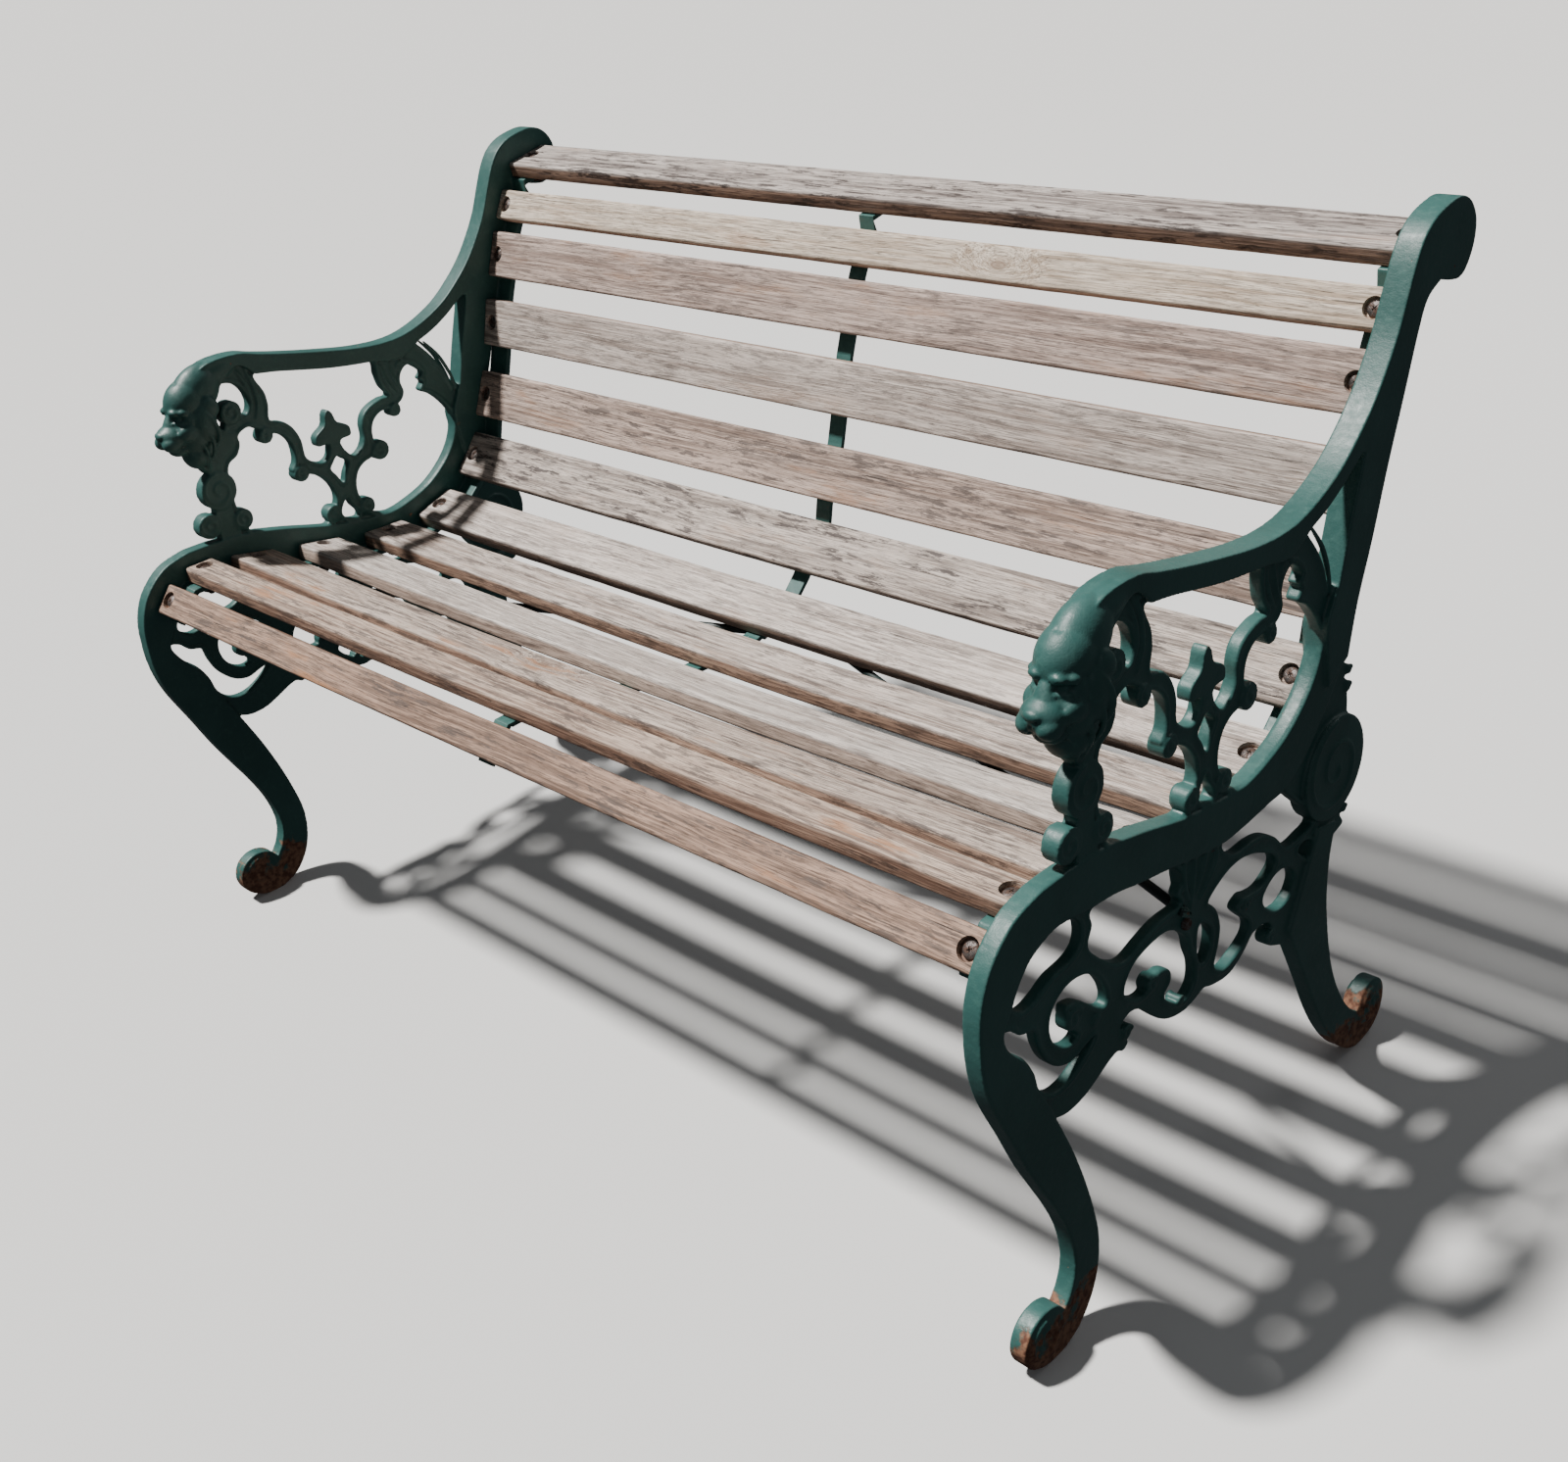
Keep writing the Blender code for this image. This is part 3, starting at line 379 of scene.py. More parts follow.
def mesh_of(name, bm):
    bmesh.ops.recalc_face_normals(bm, faces=bm.faces)
    mesh = bpy.data.meshes.new(name)
    bm.to_mesh(mesh)
    bm.free()
    return mesh


def spline(points, steps, closed=False):
    """Points of a Catmull-Rom curve. An open curve leaves out its last point."""
    count = len(points)
    vectors = [Vector(point) for point in points]
    if not closed and count < 3:
        return vectors[:-1]
    path = []
    for i in range(count if closed else count - 1):
        if closed:
            a, b, c, d = (vectors[(i + k) % count] for k in (-1, 0, 1, 2))
        else:
            a, b, c, d = (vectors[min(max(i + k, 0), count - 1)] for k in (-1, 0, 1, 2))
        for part in range(steps):
            t = part / steps
            path.append(0.5 * (2 * b + (c - a) * t + (2 * a - 5 * b + 4 * c - d) * t**2
                               + (3 * b - a - 3 * c + d) * t**3))
    return path


def outline_of(runs):
    return [point for run in runs for point in spline(run, CURVE_STEPS)]


def circle(centre, radius, sides):
    turns = [2 * pi * i / sides for i in range(sides)]
    return [Vector((centre[0] + radius * cos(t), centre[1] + radius * sin(t))) for t in turns]


def prism(bm, outline, low, high, holes=()):
    """A flat solid between x = low and x = high."""
    loops = [outline, *holes]
    points = [point for loop in loops for point in loop]
    flat = [[Vector((y, z, 0)) for y, z in loop] for loop in loops]
    sides = [[bm.verts.new(world(x, y, z)) for y, z in points] for x in (low, high)]
    for a, b, c in tessellate_polygon(flat):
        for verts in sides:
            bm.faces.new((verts[a], verts[b], verts[c]))
    start = 0
    for loop in loops:
        for i in range(len(loop)):
            a, b = start + i, start + (i + 1) % len(loop)
            bm.faces.new((sides[0][a], sides[0][b], sides[1][b], sides[1][a]))
        start += len(loop)


def sweep(bm, path, radius, closed=False, taper=False, sides=8):
    """A round cord through points in millimetres (x, y, z), thinner at its ends if tapered."""
    rings = []
    count = len(path)
    for i, point in enumerate(path):
        before = path[(i - 1) % count] if closed or i else point
        after = path[(i + 1) % count] if closed or i < count - 1 else point
        forward = (after - before).normalized()
        side = forward.cross(Vector((1, 0, 0)))
        side = side.normalized() if side.length > 0.1 else Vector((0, 0, 1))
        up = side.cross(forward)
        size = radius
        if taper:
            size *= 0.35 + 0.65 * sin(pi * (0.08 + 0.84 * i / (count - 1))) ** 0.7
        turns = [2 * pi * k / sides for k in range(sides)]
        rings.append([bm.verts.new(world(*(point + (side * cos(t) + up * sin(t)) * size))) for t in turns])
    pairs = list(zip(rings, rings[1:]))
    if closed:
        pairs.append((rings[-1], rings[0]))
    else:
        bm.faces.new(rings[0])
        bm.faces.new(rings[-1])
    for a, b in pairs:
        for k in range(sides):
            j = (k + 1) % sides
            bm.faces.new((a[k], a[j], b[j], b[k]))


def ellipsoid(bm, centre, radii, tilt):
    ball = bmesh.ops.create_icosphere(bm, subdivisions=4, radius=1.0)["verts"]
    turn = Matrix.Rotation(radians(tilt), 4, "X")
    scale = Matrix.Diagonal((*[radius * MM for radius in radii], 1.0))
    bmesh.ops.transform(bm, matrix=Matrix.Translation(world(*centre)) @ turn @ scale, verts=ball)


def on_faces(run, half, middle):
    """A (y, z) run as (x, y, z) runs on both faces of a layer."""
    return [[Vector((middle + face * half, *point)) for point in run] for face in (-1, 1)]


def spiral(centre, radius, turns, start):
    """A spiral from a disc's edge to near its middle, as (y, z) points."""
    steps = int(turns * 26)
    points = []
    for i in range(steps + 1):
        share = i / steps
        angle = start + 2 * pi * turns * share
        reach = radius * (1 - 0.86 * share)
        points.append(Vector((centre[0] + reach * cos(angle), centre[1] + reach * sin(angle))))
    return points


def offset_loop(loop, distance):
    """A closed (y, z) loop moved outwards by a distance."""
    count = len(loop)
    area = sum(loop[i - 1][0] * loop[i][1] - loop[i][0] * loop[i - 1][1] for i in range(count))
    sign = 1 if area > 0 else -1
    moved = []
    for i, point in enumerate(loop):
        along = loop[(i + 1) % count] - loop[i - 1]
        along = along / max(along.length, 1e-6)
        moved.append(point + Vector((along.y, -along.x)) * sign * distance)
    return moved


def add_relief(bm, middle, lower_holes, arm_holes):
    """Raised lines: borders round the pierced holes, spirals on the scrolls, leaf veins."""
    for holes, half in ((lower_holes, HALF_WEB), (arm_holes, HALF_PANEL)):
        for hole in holes:
            for run in on_faces(offset_loop(hole, BORDER_OFFSET), half - 0.1, middle):
                sweep(bm, run, BORDER_RADIUS, closed=True, sides=6)
    discs = [(*VOLUTE, HALF_VOLUTE, 1.7, 2.6)]
    discs += [(centre, radius, HALF_FOOT, 1.9, 2.2) for centre, radius in FOOT_SCROLLS]
    discs += [(centre, radius, HALF_BEAD, 1.5 if radius > 12 else 1.0, 1.7) for centre, radius in BEADS]
    for centre, radius, half, turns, line in discs:
        for run in on_faces(spiral(centre, radius - line, turns, pi / 2), half - 0.2, middle):
            sweep(bm, run, line, sides=6)
    for centre, radius in LEAF_TIPS:
        half = HALF_PANEL + LEAF_TIP_RISE
        disc = radius * LEAF_TIP_SHARE
        prism(bm, circle(centre, disc, 24), middle - half, middle + half)
        for run in on_faces(spiral(centre, disc, 1.2, 0.0), half, middle):
            sweep(bm, run, LEAF_TIP_LINE, sides=6)
    for vein in LEAF_VEINS:
        for run in on_faces(spline(vein, 6) + [Vector(vein[-1])], HALF_PANEL + 0.2, middle):
            sweep(bm, run, VEIN_RADIUS, taper=True, sides=6)


def add_head(bm, middle):
    """The lion's head and mane."""
    for (x, y, z), radii, tilt in HEAD_BALLS:
        ellipsoid(bm, (middle + x, y, z), radii, tilt)
    for side in (-1, 1):
        for (x, y, z), radii, tilt in HEAD_PAIRS:
            ellipsoid(bm, (middle + side * x, y, z), radii, tilt)
        for points, radius in MANE:
            path = [Vector((middle + side * x, y, z)) for x, y, z in points]
            sweep(bm, spline(path, 6) + [path[-1]], radius, taper=True)


def carve_head(mesh, middle):
    """Eyes, brow, nostrils, mouth and whisker lines, pushed into the remeshed head."""
    count = len(mesh.vertices)
    points = np.empty(count * 3)
    normals = np.empty(count * 3)
    mesh.vertices.foreach_get("co", points)
    mesh.vertices.foreach_get("normal", normals)
    points = points.reshape(-1, 3)
    normals = normals.reshape(-1, 3)
    local = points / MM + np.array((-middle, DEPTH_ORIGIN, 0.0))
    near = (local[:, 1] < HEAD_BACK) & (local[:, 2] > HEAD_BOTTOM)
    spots = local[near]
    push = np.zeros(len(spots))
    for start, end, radius, depth in HEAD_MARKS:
        for side in (-1, 1):
            a = np.array(start) * (side, 1, 1)
            b = np.array(end) * (side, 1, 1)
            share = np.clip((spots - a) @ (b - a) / ((b - a) @ (b - a)), 0, 1)
            away = np.linalg.norm(spots - a - share[:, None] * (b - a), axis=1)
            # A mark on the midline is met twice, once per side, so each counts half.
            push += depth * np.exp(-((away / radius) ** 2)) * (0.5 if a[0] == 0 else 1.0)
    points[near] += normals[near] * push[:, None] * MM
    mesh.vertices.foreach_set("co", points.ravel())


def ledge_outline():
    """The ledge that carries the slats: a broken line behind them."""
    lines = []
    for depth in (SLAT_THICK + GAP, SLAT_THICK + GAP + LEDGE_THICK):
        line = []
        for _, (y, z), slope, width, _ in SLATS:
            angle = radians(slope)
            for v in (-width / 2 - LEDGE_OVERHANG, width / 2 + LEDGE_OVERHANG):
                line.append(Vector((y + v * cos(angle) + depth * sin(angle),
                                    z + v * sin(angle) - depth * cos(angle))))
        lines.append(line)
    return lines[0] + lines[1][::-1]


def applied(obj):
    """The object's mesh with its modifiers applied."""
    graph = bpy.context.evaluated_depsgraph_get()
    mesh = bpy.data.meshes.new_from_object(obj.evaluated_get(graph))
    old = obj.data
    obj.modifiers.clear()
    obj.data = mesh
    bpy.data.meshes.remove(old)
    return mesh


def casting_mesh():
    """The right-hand casting as one skin, with soft edges and fillets."""
    middle = END_SPACING / 2
    lower_holes = [spline(hole, HOLE_STEPS, closed=True) for hole in LOWER_HOLES]
    arm_holes = [spline(hole, HOLE_STEPS, closed=True) for hole in ARM_HOLES]
    rim_runs = [*FRONT_FOOT, FRONT_LEG_BACK, *BAND_UNDERSIDE, *POST_FOOT, SEAT_RIM_TOP, FRONT_EDGE]
    layers = [
        (outline_of(rim_runs), HALF_RIM, ()),
        (outline_of(LOWER_WEB), HALF_WEB, lower_holes),
        (outline_of(ARM_PANEL), HALF_PANEL, arm_holes),
        (outline_of(BACK_LEG), HALF_BACK_LEG, ()),
        (outline_of(ARM_AND_POST), HALF_ARM, ()),
        (spline(COLUMN, HOLE_STEPS, closed=True), HALF_COLUMN, ()),
        (spline(FINIAL, HOLE_STEPS, closed=True), HALF_COLUMN, ()),
        (circle(*VOLUTE, 64), HALF_VOLUTE, ()),
    ]
    layers += [(circle(centre, radius, 40), HALF_BEAD, ()) for centre, radius in BEADS]
    layers += [(circle(centre, radius, 48), HALF_FOOT, ()) for centre, radius in FOOT_SCROLLS]
    bm = bmesh.new()
    for outline, half, holes in layers:
        prism(bm, outline, middle - half, middle + half, holes)
    prism(bm, ledge_outline(), middle - LEDGE_REACH, middle - LEDGE_ROOT)
    add_relief(bm, middle, lower_holes, arm_holes)
    add_head(bm, middle)
    rough = new_object("casting_rough", mesh_of("casting_rough", bm))
    remesh = rough.modifiers.new("skin", "REMESH")
    remesh.mode = "VOXEL"
    remesh.voxel_size = VOXEL * MM
    soften = rough.modifiers.new("soften", "SMOOTH")
    soften.factor = 0.5
    soften.iterations = 3
    carve_head(applied(rough), middle)
    thin = rough.modifiers.new("thin", "DECIMATE")
    thin.ratio = CASTING_SHARE
    mesh = applied(rough)
    mesh.shade_smooth()
    bpy.data.objects.remove(rough)
    return mesh


def castings(paint):
    """Both castings: the left one is the right one mirrored."""
    right = casting_mesh()
    left = right.copy()
    left.transform(Matrix.Diagonal((-1.0, 1.0, 1.0, 1.0)))
    left.flip_normals()
    for label, mesh in (("left", left), ("right", right)):
        piece = new_object(f"casting_{label}", mesh, paint)
        place(piece, "painted_cast_iron", f"end_casting_{label}")


def place(piece, slot, *nodes):
    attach(piece, BODY)
    if nodes:
        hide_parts(*nodes)


def slat_matrix(slat):
    """From a slat's own axes (along, across, out of the face) to the frame."""
    _, (y, z), slope, _, _ = slat
    return Matrix.Translation(world(0, y, z)) @ Matrix.Rotation(radians(slope), 4, "X")


def sag_shift(slat, u):
    """The slat's sag at u, in its own axes and in metres."""
    drop = slat[4] * max(0.0, 1 - (u / FREE_SPAN) ** 2) * MM
    angle = radians(slat[2])
    return Vector((0, -drop * sin(angle), -drop * cos(angle)))


def slat_section(width):
    """Cross-section points (v, w) with rounded arrises, going round once."""
    flat = width / 2 - ARRIS
    corners = [(flat, -ARRIS, 90), (-flat, -ARRIS, 180),
               (-flat, ARRIS - SLAT_THICK, 270), (flat, ARRIS - SLAT_THICK, 360)]
    section = []
    for v, w, last in corners:
        for part in range(5):
            angle = radians(last - 90 + 90 * part / 4)
            section.append((v + ARRIS * cos(angle), w + ARRIS * sin(angle)))
        if last in (90, 270):
            across = 1 if last == 90 else -1
            section += [(across * flat * (1 - 2 * k / 9), w + across * ARRIS) for k in range(1, 9)]
    return section


def slat_mesh(slat, seed):
    """A weathered plank: worn arrises, faint waves, crooked ends and two stepped bolt holes."""
    name, _, _, width, _ = slat
    section = slat_section(width)
    bm = bmesh.new()
    rings = []
    for i in range(STATIONS + 1):
        u = SLAT_END * (2 * i / STATIONS - 1)
        ring = []
        for v, w in section:
            wave = noise.noise(Vector((u * 0.012, v * 0.05, w * 0.05 + seed)))
            edge = noise.noise(Vector((u * 0.045, v * 0.02, seed + 9.0)))
            at_arris = max(0.0, 1 - hypot(abs(v) - width / 2, min(-w, w + SLAT_THICK)) / ARRIS_REACH)
            wear = 0.35 * wave + at_arris * (0.5 * edge - 0.4)
            inward = Vector((0, v, w + SLAT_THICK / 2)).normalized()
            end_bow = 0.4 * noise.noise(Vector((v * 0.2, w * 0.2, seed + u))) if i in (0, STATIONS) else 0
            point = Vector((u + end_bow, v, w)) + inward * min(wear, 0.0)
            ring.append(bm.verts.new(point * MM + sag_shift(slat, u)))
        rings.append(ring)
    bm.faces.new(rings[0])
    bm.faces.new(rings[-1])
    for a, b in zip(rings, rings[1:]):
        for k in range(len(section)):
            j = (k + 1) % len(section)
            bm.faces.new((a[k], a[j], b[j], b[k]))
    made = new_object(name + "_wood", mesh_of(name + "_wood", bm))
    rims = made.modifiers.new("round_ends", "BEVEL")
    rims.width = END_BEVEL * MM
    rims.segments = 2
    rims.limit_method = "ANGLE"
    rims.angle_limit = radians(60)
    cutter = new_object("cutter", mesh_of("cutter", bolt_holes()))
    cut = made.modifiers.new("holes", "BOOLEAN")
    cut.operation = "DIFFERENCE"
    cut.object = cutter
    mesh = applied(made)
    bpy.data.objects.remove(cutter)
    mesh.shade_smooth()
    mesh.set_sharp_from_angle(angle=radians(38))
    return made


def lathe(bm, profile, u=0.0, v=0.0, sides=32, square=()):
    """A turned solid along w from (radius, w) points in millimetres. Rings in square are square."""
    rings = []
    for index, (radius, w) in enumerate(profile):
        ring = []
        for i in range(sides):
            angle = 2 * pi * (i + 0.5) / sides
            reach = radius
            if index in square:
                reach = min(radius / max(abs(cos(angle)), abs(sin(angle))), radius * 1.34)
            ring.append(bm.verts.new(Vector((u + reach * cos(angle), v + reach * sin(angle), w)) * MM))
        rings.append(ring)
    bm.faces.new(rings[0])
    bm.faces.new(rings[-1])
    for upper, lower in zip(rings, rings[1:]):
        for i in range(sides):
            j = (i + 1) % sides
            bm.faces.new((upper[i], upper[j], lower[j], lower[i]))


def bolt_holes():
    bm = bmesh.new()
    sunk = [(SINK_RADIUS + GAP, HOLE_CLEARANCE), (SINK_RADIUS, -SINK_DEPTH),
            (HOLE_RADIUS, -SINK_DEPTH), (HOLE_RADIUS, -SLAT_THICK - HOLE_CLEARANCE)]
    for side in (-1, 1):
        lathe(bm, sunk, side * (SLAT_END - BOLT_INSET))
    return bm


def slats():
    for seed, (slat, look) in enumerate(zip(SLATS, WOOD_LOOKS)):
        piece = slat_mesh(slat, 17.3 * seed)
        piece.data.materials.append(wood_material(slat, look, seed))
        piece.matrix_world = slat_matrix(slat)
        place(piece, "weathered_wood", slat[0])


def bolt_mesh():
    """A domed bolt with a cross recess, a threaded stub and a square nut."""
    seat = -SINK_DEPTH + GAP
    nut_top = -SLAT_THICK - LEDGE_THICK - 3 * GAP
    end = nut_top - NUT_HEIGHT - BOLT_STUB
    dome = [(HEAD_RADIUS * sin(t), seat + DOME_BASE + (HEAD_HEIGHT - DOME_BASE) * cos(t))
            for t in DOME_TURNS]
    profile = dome + [(HEAD_RADIUS, seat + 0.9), (HEAD_RADIUS - 0.2, seat), (SHANK_RADIUS, seat),
                      (SHANK_RADIUS, nut_top)]
    first_square = len(profile)
    profile += [(NUT_HALF - NUT_CHAMFER, nut_top), (NUT_HALF, nut_top - NUT_CHAMFER),
                (NUT_HALF, nut_top - NUT_HEIGHT + NUT_CHAMFER),
                (NUT_HALF - NUT_CHAMFER, nut_top - NUT_HEIGHT)]
    profile += [(SHANK_RADIUS - THREAD_DEPTH * (k % 2), nut_top - NUT_HEIGHT - k * THREAD_DEPTH)
                for k in range(5)]
    profile.append((SHANK_RADIUS - 1, end))
    bm = bmesh.new()
    lathe(bm, profile, sides=40, square=range(first_square, first_square + 4))
    made = new_object("bolt", mesh_of("bolt", bm))
    bm = bmesh.new()
    for turn in (0, pi / 2):
        top = bmesh.ops.create_cube(bm, size=1.0)["verts"]
        size = Matrix.Diagonal((*[length * MM for length in CROSS_SIZE], 1.0))
        lift = Matrix.Translation((0, 0, (seat + HEAD_HEIGHT + CROSS_RISE) * MM))
        bmesh.ops.transform(bm, matrix=lift @ Matrix.Rotation(turn, 4, "Z") @ size, verts=top)
        for vert in top:
            if vert.co.z < (seat + HEAD_HEIGHT) * MM:
                vert.co.xy *= CROSS_TAPER
    cross = new_object("cross", mesh_of("cross", bm))
    cut = made.modifiers.new("recess", "BOOLEAN")
    cut.operation = "DIFFERENCE"
    cut.use_self = True
    cut.object = cross
    mesh = applied(made)
    bpy.data.objects.remove(cross)
    bpy.data.objects.remove(made)
    mesh.shade_smooth()
    mesh.set_sharp_from_angle(angle=radians(32))
    return mesh


def bolts(steel):
    shared = bolt_mesh()
    shared.materials.append(steel)
    for index, slat in enumerate(SLATS):
        for label, side in (("left", -1), ("right", 1)):
            piece = new_object(f"fastener_{slat[0]}_{label}", shared)
            turn = Matrix.Rotation(radians(47 * index + 31 * side), 4, "Z")
            spot = Matrix.Translation(Vector((side * (SLAT_END - BOLT_INSET), 0, 0)) * MM)
            piece.matrix_world = slat_matrix(slat) @ spot @ turn
            place(piece, "fastener_steel", f"bolt_{slat[0]}_{label}")


def stay(side, paint):
    """A round tie rod that flattens into a tab at each end."""
    slat = SLATS[TIE_SLAT]
    matrix = slat_matrix(slat)
    top = -SLAT_THICK - STRAP_THICK - 2 * GAP
    v = side * TIE_OFFSET
    drop = sag_shift(slat, 0)

    def under_strap(u, w):
        return matrix @ (Vector((side * u, v, w)) * MM + drop)

    inner = side * (END_SPACING / 2 - HALF_WEB - GAP - TAB_THICK / 2)
    tab_end = world(inner, ROD_FOOT[0], ROD_FOOT[1] - TAB_WIDE)
    tab_top = world(inner, ROD_FOOT[0], ROD_FOOT[1] + TAB_LENGTH - 3)
    start = [under_strap(-TAB_HALF, top - TAB_THICK / 2), under_strap(TAB_HALF + 2, top - TAB_THICK / 2)]
    leave = under_strap(TAB_HALF + 10, top - TAB_THICK / 2 - 2.0)
    arrive = world(inner - side * 6, ROD_FOOT[0], ROD_FOOT[1] + TAB_LENGTH)
    path = start + [leave, leave.lerp(arrive, 0.5), arrive, tab_top, tab_end]
    smooth_path = spline(path, 8) + [path[-1]]
    lengths = [0.0]
    for a, b in zip(smooth_path, smooth_path[1:]):
        lengths.append(lengths[-1] + (b - a).length)
    start_wide = matrix.to_3x3() @ Vector((0, 1, 0))
    end_wide = Vector((0, 1, 0))
    bm = bmesh.new()
    rings = []
    for i, (point, length) in enumerate(zip(smooth_path, lengths)):
        forward = (smooth_path[min(i + 1, len(smooth_path) - 1)] - smooth_path[max(i - 1, 0)]).normalized()
        wide = start_wide if length < lengths[-1] / 2 else end_wide
        wide = (wide - forward * wide.dot(forward)).normalized()
        thick = forward.cross(wide)
        to_end = min(length, lengths[-1] - length) / MM
        flat = min(max((TAB_FLAT_LENGTH - to_end) / TAB_FADE, 0.0), 1.0)
        half_wide = ROD_RADIUS + (TAB_WIDE - ROD_RADIUS) * flat
        half_thick = ROD_RADIUS + (TAB_THICK / 2 - ROD_RADIUS) * flat
        power = 1.0 - 0.6 * flat
        ring = []
        for k in range(STAY_SIDES):
            t = 2 * pi * (k + 0.5) / STAY_SIDES
            a = abs(cos(t)) ** power * (1 if cos(t) > 0 else -1) * half_wide
            b = abs(sin(t)) ** power * (1 if sin(t) > 0 else -1) * half_thick
            ring.append(bm.verts.new(point + (wide * a + thick * b) * MM))
        rings.append(ring)
    bm.faces.new(rings[0])
    bm.faces.new(rings[-1])
    for a, b in zip(rings, rings[1:]):
        for k in range(STAY_SIDES):
            j = (k + 1) % STAY_SIDES
            bm.faces.new((a[k], a[j], b[j], b[k]))
    label = "right" if side > 0 else "left"
    mesh = mesh_of(f"stay_{label}", bm)
    mesh.shade_smooth()
    mesh.set_sharp_from_angle(angle=radians(50))
    piece = new_object(f"stay_{label}", mesh, paint)
    place(piece, "painted_steel", f"tie_rod_{label}")


def keep_cad_nodes(paint, steel):
    """The strap, the small screws and the tie-rod bolts keep their CAD shape, with softened edges."""
    names = ["centre_strap"] + [f"strap_screw_{slat[0]}" for slat in SLATS]
    names += [f"tie_rod_{kind}_{label}" for kind in ("bolt", "screw") for label in ("left", "right")]
    for name in names:
        node = frame["nodes"][name]
        node.data.materials.clear()
        node.data.materials.append(paint if name == "centre_strap" else steel)
        weld = node.modifiers.new("weld", "WELD")
        weld.merge_threshold = CAD_WELD * MM
        soft = node.modifiers.new("soft_edges", "BEVEL")
        soft.width = CAD_BEVEL * MM
        soft.segments = 2
        soft.limit_method = "ANGLE"
        soft.angle_limit = radians(35)


# Materials.

PAINT_DEEP = (0.023, 0.083, 0.075)
PAINT_FRESH = (0.034, 0.108, 0.098)
PAINT_DUSTY = (0.055, 0.155, 0.132)
# Darker copy of the paint for concave hollows: painted shade.
PAINT_HOLLOW_SHADE = (0.008, 0.026, 0.025)
PAINT_SCRATCH = (0.16, 0.30, 0.26)
# Near-black colour laid over the stays' paint: painted shade, for stays that sit in shadow.
STAY_PAINTED_SHADE = (0.006, 0.010, 0.010)
RUST_DARK = (0.10, 0.035, 0.018)
RUST_LIGHT = (0.26, 0.13, 0.075)
STEEL_BARE = (0.12, 0.105, 0.10)
STEEL_RUST_DARK = (0.035, 0.018, 0.013)
STEEL_RUST_LIGHT = (0.11, 0.055, 0.035)
WOOD_WARM = (0.36, 0.175, 0.085)
WOOD_SOIL = (0.065, 0.05, 0.045)
WOOD_PORE = (0.09, 0.06, 0.045)
WOOD_CRACK = (0.05, 0.034, 0.027)
WOOD_EDGE = (0.62, 0.42, 0.31)
WOOD_END = (0.10, 0.07, 0.055)
KNOT_RING = (0.22, 0.12, 0.07)
KNOT_HEART = (0.17, 0.095, 0.055)
FLOOR_COLOUR = (0.66, 0.66, 0.655, 1.0)


def put(tree, kind, inputs=(), **settings):
    """A shader node with its settings, and its inputs given as values or as other nodes' outputs."""
    made = tree.nodes.new("ShaderNode" + kind)
    for key, value in settings.items():
        setattr(made, key, value)
    for key, value in dict(inputs).items():
        if isinstance(value, bpy.types.NodeSocket):
            tree.links.new(value, made.inputs[key])
        else:
            made.inputs[key].default_value = value
    return made


def calc(tree, operation, a, b=0.5):
    return put(tree, "Math", {0: a, 1: b}, operation=operation).outputs[0]


def step(tree, value, low, high):
    """From 0 to 1 as the value goes from low to high, with soft ends."""
    inputs = {"Value": value, "From Min": low, "From Max": high}
    return put(tree, "MapRange", inputs, interpolation_type="SMOOTHSTEP").outputs["Result"]


def blend(tree, share, a, b, mode="MIX"):
    """A mix of two colours, each a tuple or an output."""
    a, b = ((*value, 1.0) if isinstance(value, tuple) else value for value in (a, b))
    return put(tree, "Mix", {0: share, 6: a, 7: b}, data_type="RGBA", blend_type=mode).outputs[2]


def pattern(tree, vector, scale, offset=0.0, detail=3.0, roughness=0.55):
    """Noise from 0 to 1; scale is cells per metre along each axis."""
    sizes = scale if isinstance(scale, tuple) else (scale,) * 3
    spot = put(tree, "Mapping", {"Vector": vector, "Scale": sizes, "Location": (offset, offset, offset)})
    inputs = {"Vector": spot.outputs[0], "Scale": 1.0, "Detail": detail, "Roughness": roughness}
    return put(tree, "TexNoise", inputs).outputs["Fac"]


def new_material(name):
    made = bpy.data.materials.new(name)
    made.use_nodes = True
    tree = made.node_tree
    return made, tree, tree.nodes["Principled BSDF"]


def finish_material(tree, shader, colour, roughness, height, strength, metallic=None):
    bump = put(tree, "Bump", {"Height": height, "Strength": strength, "Distance": MM})
    links = [("Base Color", colour), ("Roughness", roughness), ("Normal", bump.outputs[0])]
    if metallic is not None:
        links.append(("Metallic", metallic))
    for socket, value in links:
        tree.links.new(value, shader.inputs[socket])


